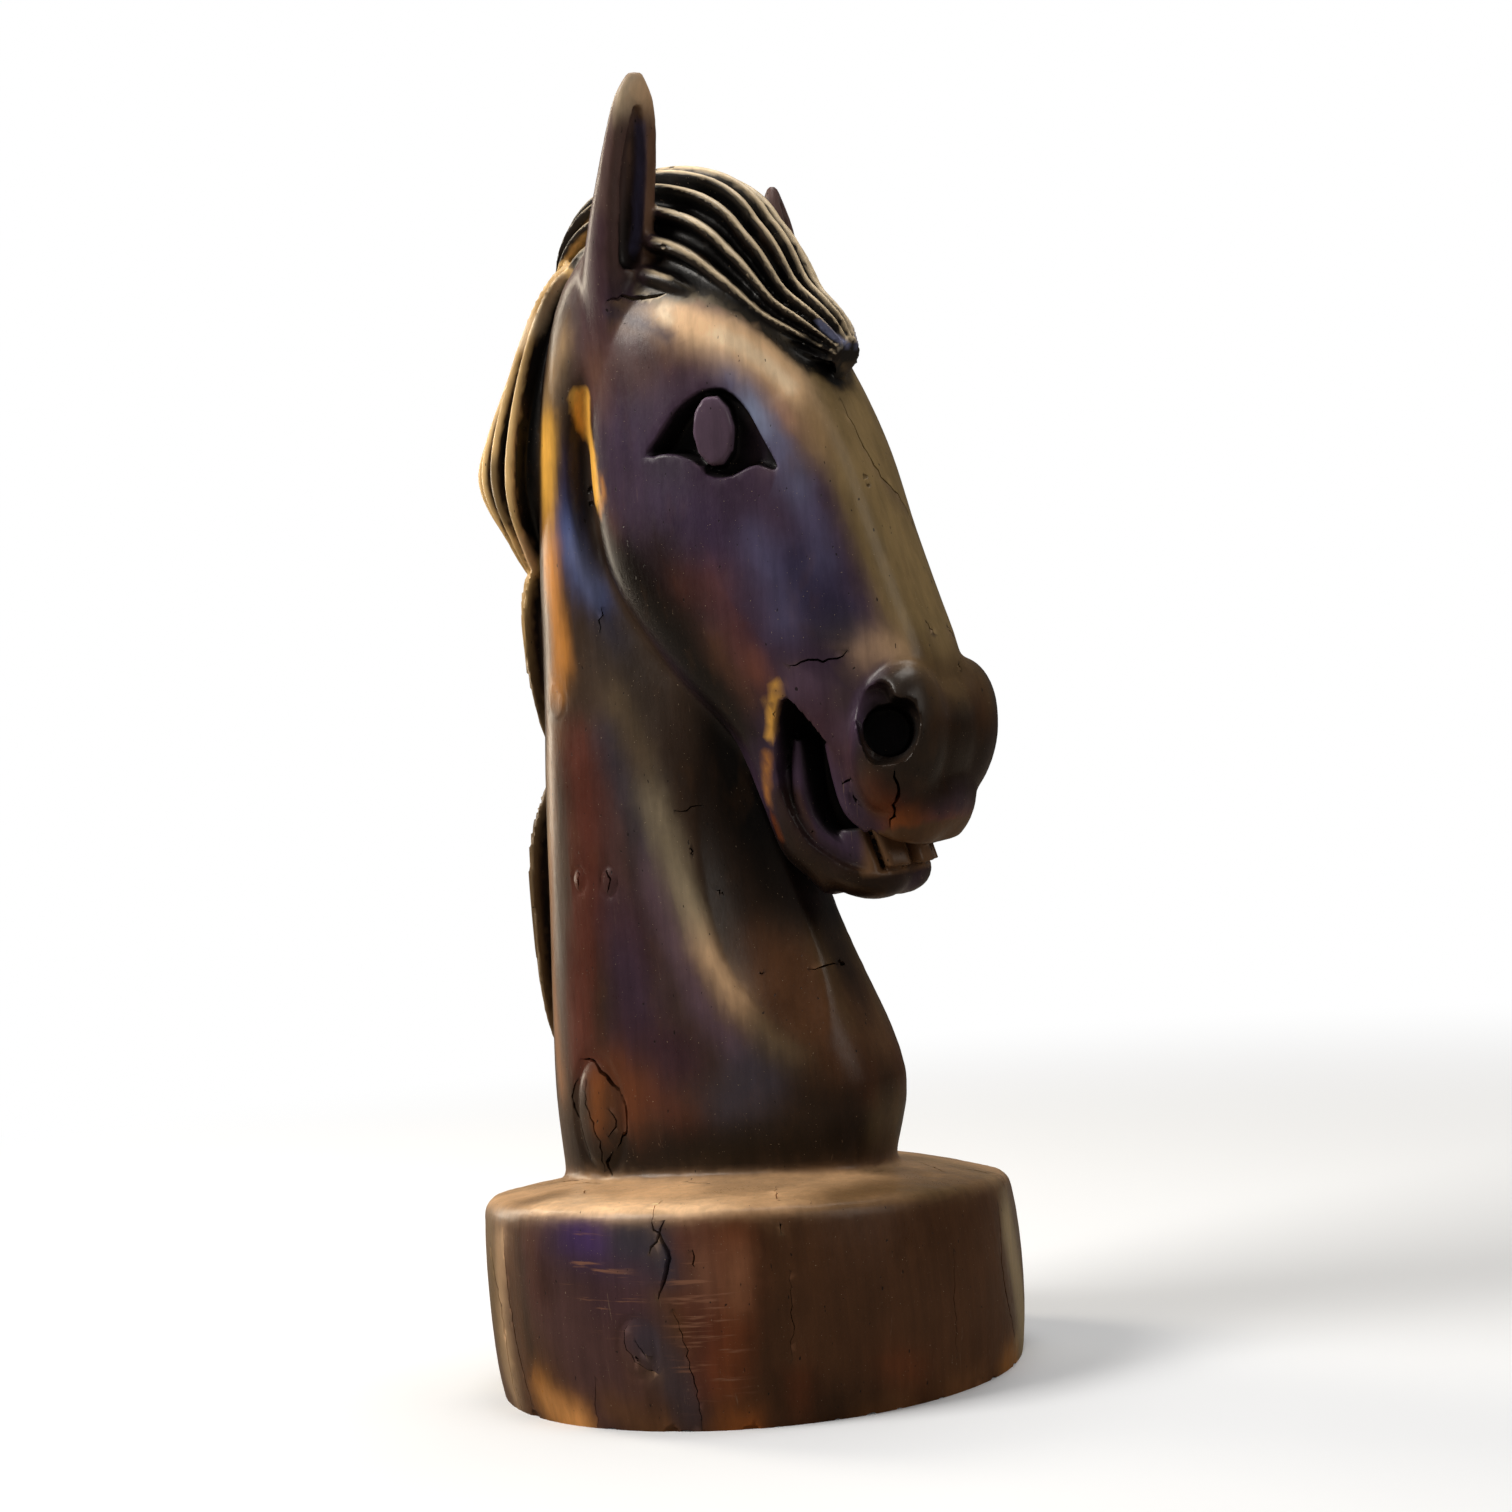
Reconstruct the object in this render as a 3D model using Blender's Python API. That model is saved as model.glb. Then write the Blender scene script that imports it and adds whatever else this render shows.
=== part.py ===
"""A horse's head carved with its round base from one log.

The figure is drawn in its own units: FIGURE_UNITS of them are FIGURE_HEIGHT. There x runs
forward to the nose, y to the horse's left and z up from the foot of the neck. Tables of the
paired features give y as the distance from the middle, and side is -1 (right) or 1 (left).
"""

import math

import bmesh
import bpy
import numpy as np
from mathutils import Matrix, Vector

# Driving sizes, in metres
FIGURE_HEIGHT = 0.480  # foot of the neck to the tip of the taller ear
BASE_HEIGHT = 0.095  # floor to the foot of the neck
BASE_RADIUS = 0.1215
BASE_RIM_DROP = 0.0105  # how far the rim lies below the foot of the neck, on the whole
BASE_RIM_LEAN = 0.010  # how much higher than that it is on the right, and lower on the left
BASE_RIM_ROUND = 0.007
SAW_WASTE = 0.010  # the log runs on this far below the floor until it is sawn flat
ROUGH_VOXEL = 0.0026
ROUGH_SMOOTH_STEPS = 4
CARVED_VOXEL = 0.0019
CARVED_SMOOTH_STEPS = 1
MOST_TRIANGLES = 9400

FIGURE_UNITS = 480.0
UNIT = FIGURE_HEIGHT / FIGURE_UNITS
RING_POINTS = 48
BODY_STEPS = 40  # rings along the neck and the head
SWEEP_STEPS = 30

# How square the sections are, from 2 for an ellipse
NECK_SQUARE = 2.9
HEAD_SQUARE = 4.0
EAR_SQUARE = 2.4
MOUTH_SQUARE = 3.0
TOOTH_SQUARE = 5.0
LOCK_SQUARE = 2.2
RIDGE_SQUARE = 2.2

# Neck stations: height, back, front, half width, how much the front narrows
NECK = [
    (-20, -84, 73, 55, 0.42),
    (0, -84, 72, 54, 0.30),
    (36, -86, 81, 54, 0.28),
    (80, -83, 66, 52, 0.24),
    (125, -79, 50, 50, 0.22),
    (175, -76, 38, 47, 0.20),
    (214, -73, 34, 44, 0.15),
    (276, -68, 30, 43, 0.10),
    (345, -57, 30, 44, 0.05),
    (388, -44, 26, 40, 0.05),
    (412, -28, 14, 28, 0.05),
]

# Head stations from poll to lip: front x and z, rear x and z, half width, front narrowing
HEAD = [
    (36, 404, -24, 392, 30, 0.15),
    (64, 379, -25, 364, 43, 0.25),
    (85, 347, -27, 332, 48, 0.38),
    (101, 311, -27, 296, 51, 0.42),
    (111, 276, -19, 260, 53, 0.46),
    (120, 247, 6, 222, 50, 0.46),
    (129, 216, 31, 192, 42, 0.40),
    (127, 190, 43, 162, 39, 0.34),
    (126, 162, 50, 138, 35, 0.25),
    (120, 149, 60, 127, 30, 0.20),
    (99, 134, 68, 118, 25, 0.20),
]

# Hollow behind the cheek and the scoop at the throat: x, y, z, half width, half depth
CHEEK_HOLLOW = [
    (-17, 44, 356, 1.5, 3),
    (-19, 45, 341, 6, 9),
    (-21, 46, 322, 10, 13),
    (-20, 47, 300, 13, 14),
    (-15, 48, 277, 17, 14),
    (-6, 49, 257, 22, 14),
    (6, 49, 235, 26, 14),
    (22, 49, 210, 25, 14),
    (36, 48, 180, 20, 12),
    (46, 46, 155, 13, 8),
]
THROAT_SCOOP = [
    (26, 36, 210, 14, 6),
    (33, 35, 150, 25, 11),
    (45, 35, 104, 28, 13),
    (58, 35, 78, 26, 12),
    (72, 34, 52, 16, 7),
]
HOLLOW_OUTWARD = (0.2, 1, 0)
SCOOP_OUTWARD = (0.72, 0.69, 0)

# Ears: x, y, z of the front face's middle, half width and half depth; the left one is lower
RIGHT_EAR = [
    (-2, 31, 350, 14, 25),
    (7, 34, 385, 13, 20),
    (10, 36, 400, 13, 17.5),
    (14, 38, 420, 13, 13.5),
    (18, 39, 440, 12.5, 9.5),
    (23, 41, 458, 11, 7),
    (26, 43, 470, 8.5, 5),
    (28, 44, 480, 3.5, 3),
]
LEFT_EAR = [
    (24, 36, 345, 16, 22),
    (33, 46, 385, 16, 15),
    (36, 49, 400, 14, 11),
    (35, 50, 415, 11, 8),
    (33, 49, 426, 7.5, 5),
    (32, 48, 434, 3, 2.5),
]
EAR_FACING = (0.94, 0.34, 0)
EAR_FLAT = 0.62  # where the flat front face cuts the round of the ear
EAR_ROUND = 1.1  # the round behind the face is this much wider than it
EARS = {-1: RIGHT_EAR, 1: LEFT_EAR}
RIGHT_EAR_GOUGE = [
    (9, 37, 397, 3, 5),
    (10, 37, 402, 5.5, 8),
    (15, 38.5, 425, 6, 9),
    (19, 39.5, 443, 6, 8),
    (25, 42, 465, 2, 4),
]
LEFT_EAR_GOUGE = [
    (35, 49, 392, 3, 5),
    (36, 49.5, 398, 6, 7),
    (36, 50, 412, 5, 6),
    (34, 49, 426, 2, 3),
]
EAR_GOUGES = {-1: RIGHT_EAR_GOUGE, 1: LEFT_EAR_GOUGE}

# Eye: a deep lidded socket with a cut knob in it, in steps along the cheek and up it
EYE_CENTRE = (48, 46, 318)
EYE_FACING = (0.14, 1, 0.04)
EYE_LIDS = [
    (-33, -4),
    (-25, 5),
    (-16, 16),
    (-6, 23),
    (3, 25),
    (10, 22),
    (17, 14),
    (24, 0),
    (31, -16),
    (20, -12),
    (8, -16),
    (-2, -15),
    (-8, -8),
    (-20, -3),
]
EYE_DEPTH = 15
KNOB_OFFSET = (2.5, 4.5)
KNOB_HALF = (8.6, 15)
KNOB_FACETS = 10
KNOB_CENTRE = (48, 45, 318)
KNOB_FACING = (0.45, 0.88, 0)
KNOB_RISE = 1
KNOB_DEPTH = 19
KNOB_FLARE = 1.1  # size of its root as a share of its cut face

# Nostril: a heart-shaped opening with a drilled hole in it
NOSTRIL_CENTRE = (117, 33, 193)
NOSTRIL_FACING = (0.62, 0.78, 0.08)
NOSTRIL_EDGE = [
    (-14, 3),
    (-11, 14),
    (-3, 18),
    (2, 15),
    (4, 10),
    (11, 8),
    (14, -2),
    (9, -15),
    (0, -18),
    (-8, -16),
]
NOSTRIL_DEPTH = 8
DRILL_OFFSET = (2.4, -3.2)
DRILL_RADIUS = 11
DRILL_DEPTH = 26
PIT_FLOOR = 0.85  # size of a pit's floor as a share of its mouth
CUTTER_REACH = 25  # how far a cutter stands out of the wood

# Mouth: x, y, z, half width of the gap, half reach inward
MOUTH = [
    (72, 42, 206, 2, 20),
    (73, 42, 197, 7, 26),
    (75, 42, 188, 10.5, 28),
    (77, 42, 178, 14, 28),
    (79, 41, 166, 15, 28),
    (83, 39, 153, 13.5, 28),
    (89, 37, 145, 12, 29),
    (97, 35, 139, 10.5, 32),
    (109, 32, 134, 8, 32),
    (134, 30, 129, 7, 32),
]
LOWER_GUM = [
    (70, 24, 188, 3, 8),
    (69, 24, 174, 4.5, 9),
    (70, 24, 160, 4.5, 9),
    (75, 22, 147, 4.5, 8),
    (88, 17, 134, 4, 7),
]
UPPER_GUM = [
    (88, 26, 186, 4, 8),
    (91, 26, 170, 4.5, 8),
    (94, 25, 158, 4.5, 8),
    (99, 21, 150, 4, 8),
]
TOOTH_ANGLES = (-74, -38, 0, 38, 74)
TOOTH_ARCH_CENTRE = (84, 0, 139)
TOOTH_ARCH_REACH = (22, 21)
TOOTH_HALF = (5.4, 3.5, 9)  # half width, half depth, half height
TOOTH_DOWN = (0.3, 0, -0.95)  # the teeth lean forward

# Swellings of the muzzle: centre, half sizes, turn about Y
SWELLINGS = [
    ((115, 20, 184), (20, 23, 34), 16),
    ((112, 10, 158), (16, 20, 23), 15),
    ((82, 8, 132), (23, 22, 14), 25),
]

# Locks of hair: x, y, z on the skin, half width, thickness
FORELOCK = [
    (-40, 0, 372, 20, 32),
    (-14, 0, 386, 30, 54),
    (20, 0, 384, 36, 56),
    (42, 0, 376, 32, 43),
    (62, 0, 365, 27, 27),
    (76, 0, 358, 21, 20),
    (86, 0, 352, 15, 15),
    (93, 0, 348, 9, 9),
]
MANE = [
    [
        (-34, 0, 400, 22, 13),
        (-46, -3, 384, 28, 16),
        (-54, -5, 350, 35, 27),
        (-61, -5, 310, 38, 42),
        (-66, -4, 282, 28, 24),
        (-69, -2, 256, 12, 6),
    ],
    [
        (-60, 20, 330, 12, 8),
        (-66, 22, 290, 24, 22),
        (-70, 20, 250, 26, 26),
        (-73, 16, 205, 20, 18),
        (-74, 12, 172, 8, 6),
    ],
    [
        (-66, -6, 286, 12, 6),
        (-69, -6, 264, 24, 12),
        (-71, -7, 240, 26, 11),
        (-73, -7, 210, 20, 8),
        (-75, -6, 184, 8, 4),
    ],
    [
        (-75, -8, 182, 8, 4),
        (-78, -10, 150, 22, 10),
        (-80, -9, 112, 24, 12),
        (-83, -8, 72, 20, 8),
        (-84, -6, 40, 8, 4),
    ],
    [
        (-75, 18, 188, 10, 6),
        (-77, 21, 150, 20, 17),
        (-80, 21, 105, 22, 18),
        (-83, 17, 62, 14, 9),
        (-84, 12, 34, 6, 4),
    ],
]
FORELOCK_OUTWARD = (0.25, 0, 1)
MANE_OUTWARD = (-1, 0, 0.1)
MANE_WAVE = 0.25  # sway of the ridges along a lock, in radians round it
FORELOCK_RIDGES = 11
FORELOCK_FAN = (0.85, 1.2)  # spread of the ridges at its two ends as shares of RIDGE_SPREAD
MANE_FAN = (1, 1)
MANE_RIDGES = 8
RIDGE_SPREAD = 82  # degrees each way from the middle of a lock
RIDGE_SHARE = 0.32  # a ridge's half width as a share of the way to its neighbour
HAIR_GROOVE = 7.0  # how far the ridges stand out of a lock
LOCK_STEPS = 36

# The log's lower end, as shares of its radius
BASE_BARREL = 0.030
BASE_WIDEST = 0.55  # height of the fullest part as a share of the wall
BASE_CREST = 0.25  # where the rise of the top ends, under the neck
BASE_CROWN = 1.6  # power of the curve of the top
BASE_LEAN_TOWARDS = -80  # direction of the rim's high side, in degrees
BASE_WAVES = [(2, 0.012, 0.6), (3, 0.008, 1.9)]  # out of round: waves, share, phase
BASE_POINTS = 72


def place(point):
    """A point of the figure, in metres in the part's frame."""
    return Vector(point) * UNIT + Vector((0, 0, BASE_HEIGHT))


def smooth_curve(points, count):
    """count points, evenly spread, on a Catmull-Rom curve through points of any dimension."""
    p = np.array(points, float)
    p = np.vstack([2 * p[0] - p[1], p, 2 * p[-1] - p[-2]])
    fine = []
    for a, b, c, d in zip(p, p[1:], p[2:], p[3:]):
        for t in np.linspace(0, 1, 24, endpoint=False):
            curve = 2 * b + (c - a) * t
            curve += (2 * a - 5 * b + 4 * c - d) * t**2
            curve += (3 * b - a - 3 * c + d) * t**3
            fine.append(curve / 2)
    fine = np.array(fine + [p[-2]])
    run = np.concatenate([[0], np.cumsum(np.linalg.norm(np.diff(fine[:, :3], axis=0), axis=1))])
    at = np.linspace(0, run[-1], count)
    return np.stack([np.interp(at, run, fine[:, k]) for k in range(fine.shape[1])], 1)


def new_object(name, bm):
    mesh = bpy.data.meshes.new(name)
    bm.to_mesh(mesh)
    bm.free()
    obj = bpy.data.objects.new(name, mesh)
    bpy.context.scene.collection.objects.link(obj)
    return obj


def loft(name, rings):
    """A closed solid through rings of points."""
    bm = bmesh.new()
    loops = [[bm.verts.new(p) for p in ring] for ring in rings]
    count = len(loops[0])
    for low, high in zip(loops, loops[1:]):
        for k in range(count):
            n = (k + 1) % count
            bm.faces.new((low[k], low[n], high[n], high[k]))
    bm.faces.new(loops[0])
    bm.faces.new(loops[-1])
    bmesh.ops.recalc_face_normals(bm, faces=bm.faces)
    return new_object(name, bm)


def figure_loft(name, rings):
    return loft(name, [[place(p) for p in ring] for ring in rings])


def section(centre, forward, side, half_length, half_width, squareness=2.0, narrowing=0.0, flat=1.0):
    """A superellipse ring, narrower or cut flat towards its front."""
    ring = []
    for k in range(RING_POINTS):
        angle = 2 * math.pi * k / RING_POINTS
        c, s = math.cos(angle), math.sin(angle)
        u = math.copysign(abs(c) ** (2 / squareness), c)
        v = math.copysign(abs(s) ** (2 / squareness), s)
        t = min(1, max(0, (u + 0.35) / 1.35))
        v *= 1 - narrowing * t * t * (3 - 2 * t)
        ring.append(centre + forward * (half_length * min(u, flat)) + side * (half_width * v))
    return ring


def frames(points, outward):
    """At each point of a path: the point, the outward way square to the path, and the way across."""
    points = [Vector(p) for p in points]
    last = len(points) - 1
    for k, point in enumerate(points):
        ahead = (points[min(k + 1, last)] - points[max(k - 1, 0)]).normalized()
        up = (outward - ahead * ahead.dot(outward)).normalized()
        yield point, up, ahead.cross(up)


def sweep(name, rows, outward, squareness=2.0):
    """A body along rows of x, y, z, half width and half height, its height turned outward."""
    rows = smooth_curve(rows, SWEEP_STEPS)
    rings = []
    for row, (point, up, across) in zip(rows, frames(rows[:, :3], Vector(outward))):
        rings.append(section(point, up, across, row[4], row[3], squareness))
    return figure_loft(name, rings)


def sided(row, side):
    """A table's row on the right or the left of the figure."""
    return (row[0], row[1] * side, *row[2:])


def pit(name, centre, facing, outline, depth, floor=PIT_FLOOR, reach=CUTTER_REACH):
    """A cutter that sinks an outline below a face; floor is its size at the bottom."""
    facing = facing.normalized()
    along = (Vector((1, 0, 0)) - facing * facing.x).normalized()
    up = facing.cross(along)
    up *= math.copysign(1, up.z)
    rings = []
    for distance, share in ((-depth, floor), (0, 1), (reach, 1)):
        middle = centre + facing * distance
        rings.append([middle + along * (a * share) + up * (b * share) for a, b in outline])
    return figure_loft(name, rings)


def oval(half_width, half_height, count):
    steps = [2 * math.pi * k / count for k in range(count)]
    return [(half_width * math.cos(a), half_height * math.sin(a)) for a in steps]


def shift(outline, offset):
    return [(a + offset[0], b + offset[1]) for a, b in outline]


def round_outline(points, count=40):
    return [tuple(p) for p in smooth_curve([(*p, 0) for p in [*points, points[0]]], count + 1)[:-1, :2]]


def ellipsoid(name, centre, radii, lean=0.0):
    bm = bmesh.new()
    bmesh.ops.create_uvsphere(bm, u_segments=32, v_segments=20, radius=1)
    bm.transform(Matrix.Rotation(math.radians(lean), 4, "Y") @ Matrix.Diagonal((*radii, 1)))
    for vert in bm.verts:
        vert.co = place(vert.co + Vector(centre))
    return new_object(name, bm)


def join(name, objects):
    """One object with the bodies of all the objects."""
    bm = bmesh.new()
    for obj in objects:
        bm.from_mesh(obj.data)
        bpy.data.objects.remove(obj)
    return new_object(name, bm)


def bake_modifiers(obj):
    graph = bpy.context.evaluated_depsgraph_get()
    mesh = bpy.data.meshes.new_from_object(obj.evaluated_get(graph))
    obj.modifiers.clear()
    obj.data = mesh
    return obj


def fuse(obj, voxel, smoothing):
    """Turns overlapping bodies into one skin of even faces, then softens it."""
    modifier = obj.modifiers.new("fuse", "REMESH")
    modifier.mode = "VOXEL"
    modifier.voxel_size = voxel
    soften = obj.modifiers.new("soften", "SMOOTH")
    soften.factor = 0.5
    soften.iterations = smoothing
    return bake_modifiers(obj)


def carve(obj, cutter):
    modifier = obj.modifiers.new("carve", "BOOLEAN")
    modifier.operation = "DIFFERENCE"
    modifier.object = cutter
    bake_modifiers(obj)
    bpy.data.objects.remove(cutter)


def make_neck():
    rings = []
    for height, back, front, half_width, narrowing in smooth_curve(NECK, BODY_STEPS):
        centre = Vector(((back + front) / 2, 0, height))
        half_length = (front - back) / 2
        forward, across = Vector((1, 0, 0)), Vector((0, 1, 0))
        rings.append(section(centre, forward, across, half_length, half_width, NECK_SQUARE, narrowing))
    neck = figure_loft("neck", rings)
    for side in (-1, 1):
        for rows, outward in ((CHEEK_HOLLOW, HOLLOW_OUTWARD), (THROAT_SCOOP, SCOOP_OUTWARD)):
            carve(neck, sweep("hollow", [sided(row, side) for row in rows], sided(outward, side)))
    return neck


def make_head():
    rings = []
    for front_x, front_z, rear_x, rear_z, half_width, narrowing in smooth_curve(HEAD, BODY_STEPS):
        front, rear = Vector((front_x, 0, front_z)), Vector((rear_x, 0, rear_z))
        centre, reach = (front + rear) / 2, front - rear
        forward, across = reach.normalized(), Vector((0, 1, 0))
        half_length = reach.length / 2
        rings.append(section(centre, forward, across, half_length, half_width, HEAD_SQUARE, narrowing))
    return figure_loft("head", rings)


def make_swellings():
    bodies = []
    for centre, radii, lean in SWELLINGS:
        for side in (-1, 1):
            bodies.append(ellipsoid("swelling", sided(centre, side), radii, lean))
    return bodies


def make_ear(side):
    facing = Vector(sided(EAR_FACING, side))
    across = facing.cross(Vector((0, 0, 1)))
    rings = []
    for x, y, z, half_width, half_depth in smooth_curve(EARS[side], SWEEP_STEPS):
        face = Vector((x, y * side, z))
        centre = face - facing * (half_depth * EAR_FLAT)
        half_round = half_width * EAR_ROUND
        rings.append(section(centre, facing, across, half_depth, half_round, EAR_SQUARE, flat=EAR_FLAT))
    return figure_loft("ear", rings)


def ear_gouge(side):
    return sweep("ear_gouge", [sided(row, side) for row in EAR_GOUGES[side]], sided(EAR_FACING, side))


def sided_pit(name, centre, facing, outline, depth, side, **shape):
    return pit(name, Vector(sided(centre, side)), Vector(sided(facing, side)), outline, depth, **shape)


def eye_socket(side):
    return sided_pit("eye_socket", EYE_CENTRE, EYE_FACING, round_outline(EYE_LIDS), EYE_DEPTH, side)


def eye_knob(side):
    outline = shift(oval(*KNOB_HALF, KNOB_FACETS), KNOB_OFFSET)
    shape = {"floor": KNOB_FLARE, "reach": KNOB_RISE}
    return sided_pit("eye_knob", KNOB_CENTRE, KNOB_FACING, outline, KNOB_DEPTH, side, **shape)


def nostril(side):
    outline = round_outline(NOSTRIL_EDGE)
    return sided_pit("nostril", NOSTRIL_CENTRE, NOSTRIL_FACING, outline, NOSTRIL_DEPTH, side)


def nostril_hole(side):
    outline = shift(oval(DRILL_RADIUS, DRILL_RADIUS, 24), DRILL_OFFSET)
    return sided_pit("nostril_hole", NOSTRIL_CENTRE, NOSTRIL_FACING, outline, DRILL_DEPTH, side, floor=1)


def mouth_gap(side):
    return sweep("mouth_gap", [sided(row, side) for row in MOUTH], (0, side, 0), MOUTH_SQUARE)


def make_teeth():
    """The front teeth stand on an arch under the upper lip, between the gums of the sides."""
    bodies = []
    down = Vector(TOOTH_DOWN).normalized()
    half_width, half_depth, half_height = TOOTH_HALF
    for angle in TOOTH_ANGLES:
        a = math.radians(angle)
        out = Vector((math.cos(a), math.sin(a), 0))
        across = out.cross(Vector((0, 0, 1)))
        centre = Vector(TOOTH_ARCH_CENTRE)
        centre += Vector((TOOTH_ARCH_REACH[0] * out.x, TOOTH_ARCH_REACH[1] * out.y, 0))
        rings = []
        for end in (-half_height, half_height):
            rings.append(section(centre + down * end, out, across, half_depth, half_width, TOOTH_SQUARE))
        bodies.append(figure_loft("tooth", rings))
    for side in (-1, 1):
        for rows in (LOWER_GUM, UPPER_GUM):
            rows = [sided(row, side) for row in rows]
            bodies.append(sweep("gum", rows, (0, side, 0), MOUTH_SQUARE))
    return bodies


def make_lock(rows, outward, ridges, wave, fan):
    """A lock of hair: a plain core with ridges drawn along it, which meet at its ends."""
    rows = smooth_curve(rows, LOCK_STEPS)
    core = []
    strands = [[] for _ in range(ridges)]
    spread = math.radians(RIDGE_SPREAD)
    gap = 2 * spread / (ridges - 1)
    for k, (row, (point, up, across)) in enumerate(zip(rows, frames(rows[:, :3], Vector(outward)))):
        half_width, thickness = row[3], row[4]
        core_height, core_width = max(1, thickness - HAIR_GROOVE), max(1, half_width - HAIR_GROOVE)
        core.append(section(point, up, across, core_height, core_width, LOCK_SQUARE))
        sway = wave * math.sin(2 * math.pi * k / LOCK_STEPS)
        for j, strand in enumerate(strands):
            angle = (gap * j - spread) * (fan[0] + (fan[1] - fan[0]) * k / LOCK_STEPS)
            angle += sway * math.cos(angle)
            c, s = math.cos(angle), math.sin(angle)
            skin = point + up * (thickness * c) + across * (half_width * s)
            out = (up * (half_width * c) + across * (thickness * s)).normalized()
            over = (across * (thickness * c) - up * (half_width * s)).normalized()
            spacing = gap * math.hypot(thickness * s, half_width * c)
            half = max(0.8, spacing * RIDGE_SHARE)
            strand.append(section(skin - out * HAIR_GROOVE, out, over, HAIR_GROOVE, half, RIDGE_SQUARE))
    return [figure_loft("lock", core), *[figure_loft("strand", strand) for strand in strands]]


def make_hair():
    bodies = make_lock(FORELOCK, FORELOCK_OUTWARD, FORELOCK_RIDGES, 0, FORELOCK_FAN)
    for rows in MANE:
        bodies += make_lock(rows, MANE_OUTWARD, MANE_RIDGES, MANE_WAVE, MANE_FAN)
    return bodies


def base_levels():
    """Height, share of the radius and share of the lean, from below the floor to under the neck."""
    wall = BASE_HEIGHT - BASE_RIM_DROP - BASE_RIM_ROUND
    for t in np.linspace(-SAW_WASTE / wall, 1, 9):
        yield t * wall, 1 - BASE_BARREL * (2 * (t - BASE_WIDEST)) ** 2, t
    edge = 1 - BASE_BARREL * (2 * (1 - BASE_WIDEST)) ** 2
    round_share = BASE_RIM_ROUND / BASE_RADIUS
    for turn in np.linspace(0.1, 0.5, 5) * math.pi:
        yield wall + BASE_RIM_ROUND * math.sin(turn), edge - round_share * (1 - math.cos(turn)), 1
    rim = edge - round_share
    for t in np.linspace(0.15, 1, 6):
        fall = (1 - t) ** BASE_CROWN
        yield BASE_HEIGHT - BASE_RIM_DROP * fall, rim * (1 - (1 - BASE_CREST) * t), fall


def make_base():
    """The log's lower end: slightly out of round, barrelled, with a rounded rim and a low crown."""
    rings = []
    towards = math.radians(BASE_LEAN_TOWARDS)
    for z, share, lean in base_levels():
        ring = []
        for k in range(BASE_POINTS):
            a = 2 * math.pi * k / BASE_POINTS
            radius = BASE_RADIUS * share
            radius *= 1 + sum(part * math.cos(waves * a + phase) for waves, part, phase in BASE_WAVES)
            rise = BASE_RIM_LEAN * lean * math.cos(a - towards)
            ring.append(Vector((radius * math.cos(a), radius * math.sin(a), z + rise)))
        rings.append(ring)
    return loft("base", rings)


def thin_out(obj, most):
    obj.data.calc_loop_triangles()
    modifier = obj.modifiers.new("thin_out", "DECIMATE")
    modifier.ratio = most / len(obj.data.loop_triangles)
    modifier.use_collapse_triangulate = True
    bake_modifiers(obj)


def saw_flat(obj):
    """Cuts the log off at the floor."""
    bm = bmesh.new()
    bm.from_mesh(obj.data)
    whole = [*bm.verts, *bm.edges, *bm.faces]
    floor = {"plane_co": (0, 0, 0), "plane_no": (0, 0, -1)}
    cut = bmesh.ops.bisect_plane(bm, geom=whole, clear_outer=True, **floor)
    rim = [item for item in cut["geom_cut"] if isinstance(item, bmesh.types.BMEdge)]
    bmesh.ops.contextual_create(bm, geom=rim)
    bmesh.ops.recalc_face_normals(bm, faces=bm.faces)
    bm.to_mesh(obj.data)
    bm.free()


def make_material():
    material = bpy.data.materials.new("stained_wood")
    material.use_nodes = True
    shader = material.node_tree.nodes["Principled BSDF"]
    shader.inputs["Base Color"].default_value = (0.085, 0.045, 0.030, 1)
    shader.inputs["Roughness"].default_value = 0.35
    shader.inputs["Metallic"].default_value = 0.0
    return material


def main():
    for obj in list(bpy.data.objects):
        bpy.data.objects.remove(obj)
    bodies = [make_neck(), make_head(), make_base(), *make_swellings(), make_ear(-1), make_ear(1)]
    rough = join("rough", bodies)
    fuse(rough, ROUGH_VOXEL, ROUGH_SMOOTH_STEPS)
    for side in (-1, 1):
        for cutter in (ear_gouge, eye_socket, nostril, nostril_hole, mouth_gap):
            carve(rough, cutter(side))
    details = [eye_knob(-1), eye_knob(1), *make_teeth(), *make_hair()]
    sculpture = join("horse_sculpture", [rough, *details])
    fuse(sculpture, CARVED_VOXEL, CARVED_SMOOTH_STEPS)
    thin_out(sculpture, MOST_TRIANGLES)
    saw_flat(sculpture)
    sculpture.data.materials.append(make_material())


main()
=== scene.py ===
"""The carved horse in its finished look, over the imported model.

The figure is drawn in its own units: FIGURE_UNITS of them are FIGURE_HEIGHT. There x runs
forward to the nose, y to the horse's left and z up from the foot of the neck. Tables of the
paired features give y as the distance from the middle, and side is -1 (right) or 1 (left).
"""

import math
import random
from functools import partial

import bmesh
import bpy
import numpy as np
from mathutils import Matrix, Vector, kdtree, noise
from mathutils.bvhtree import BVHTree


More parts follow.
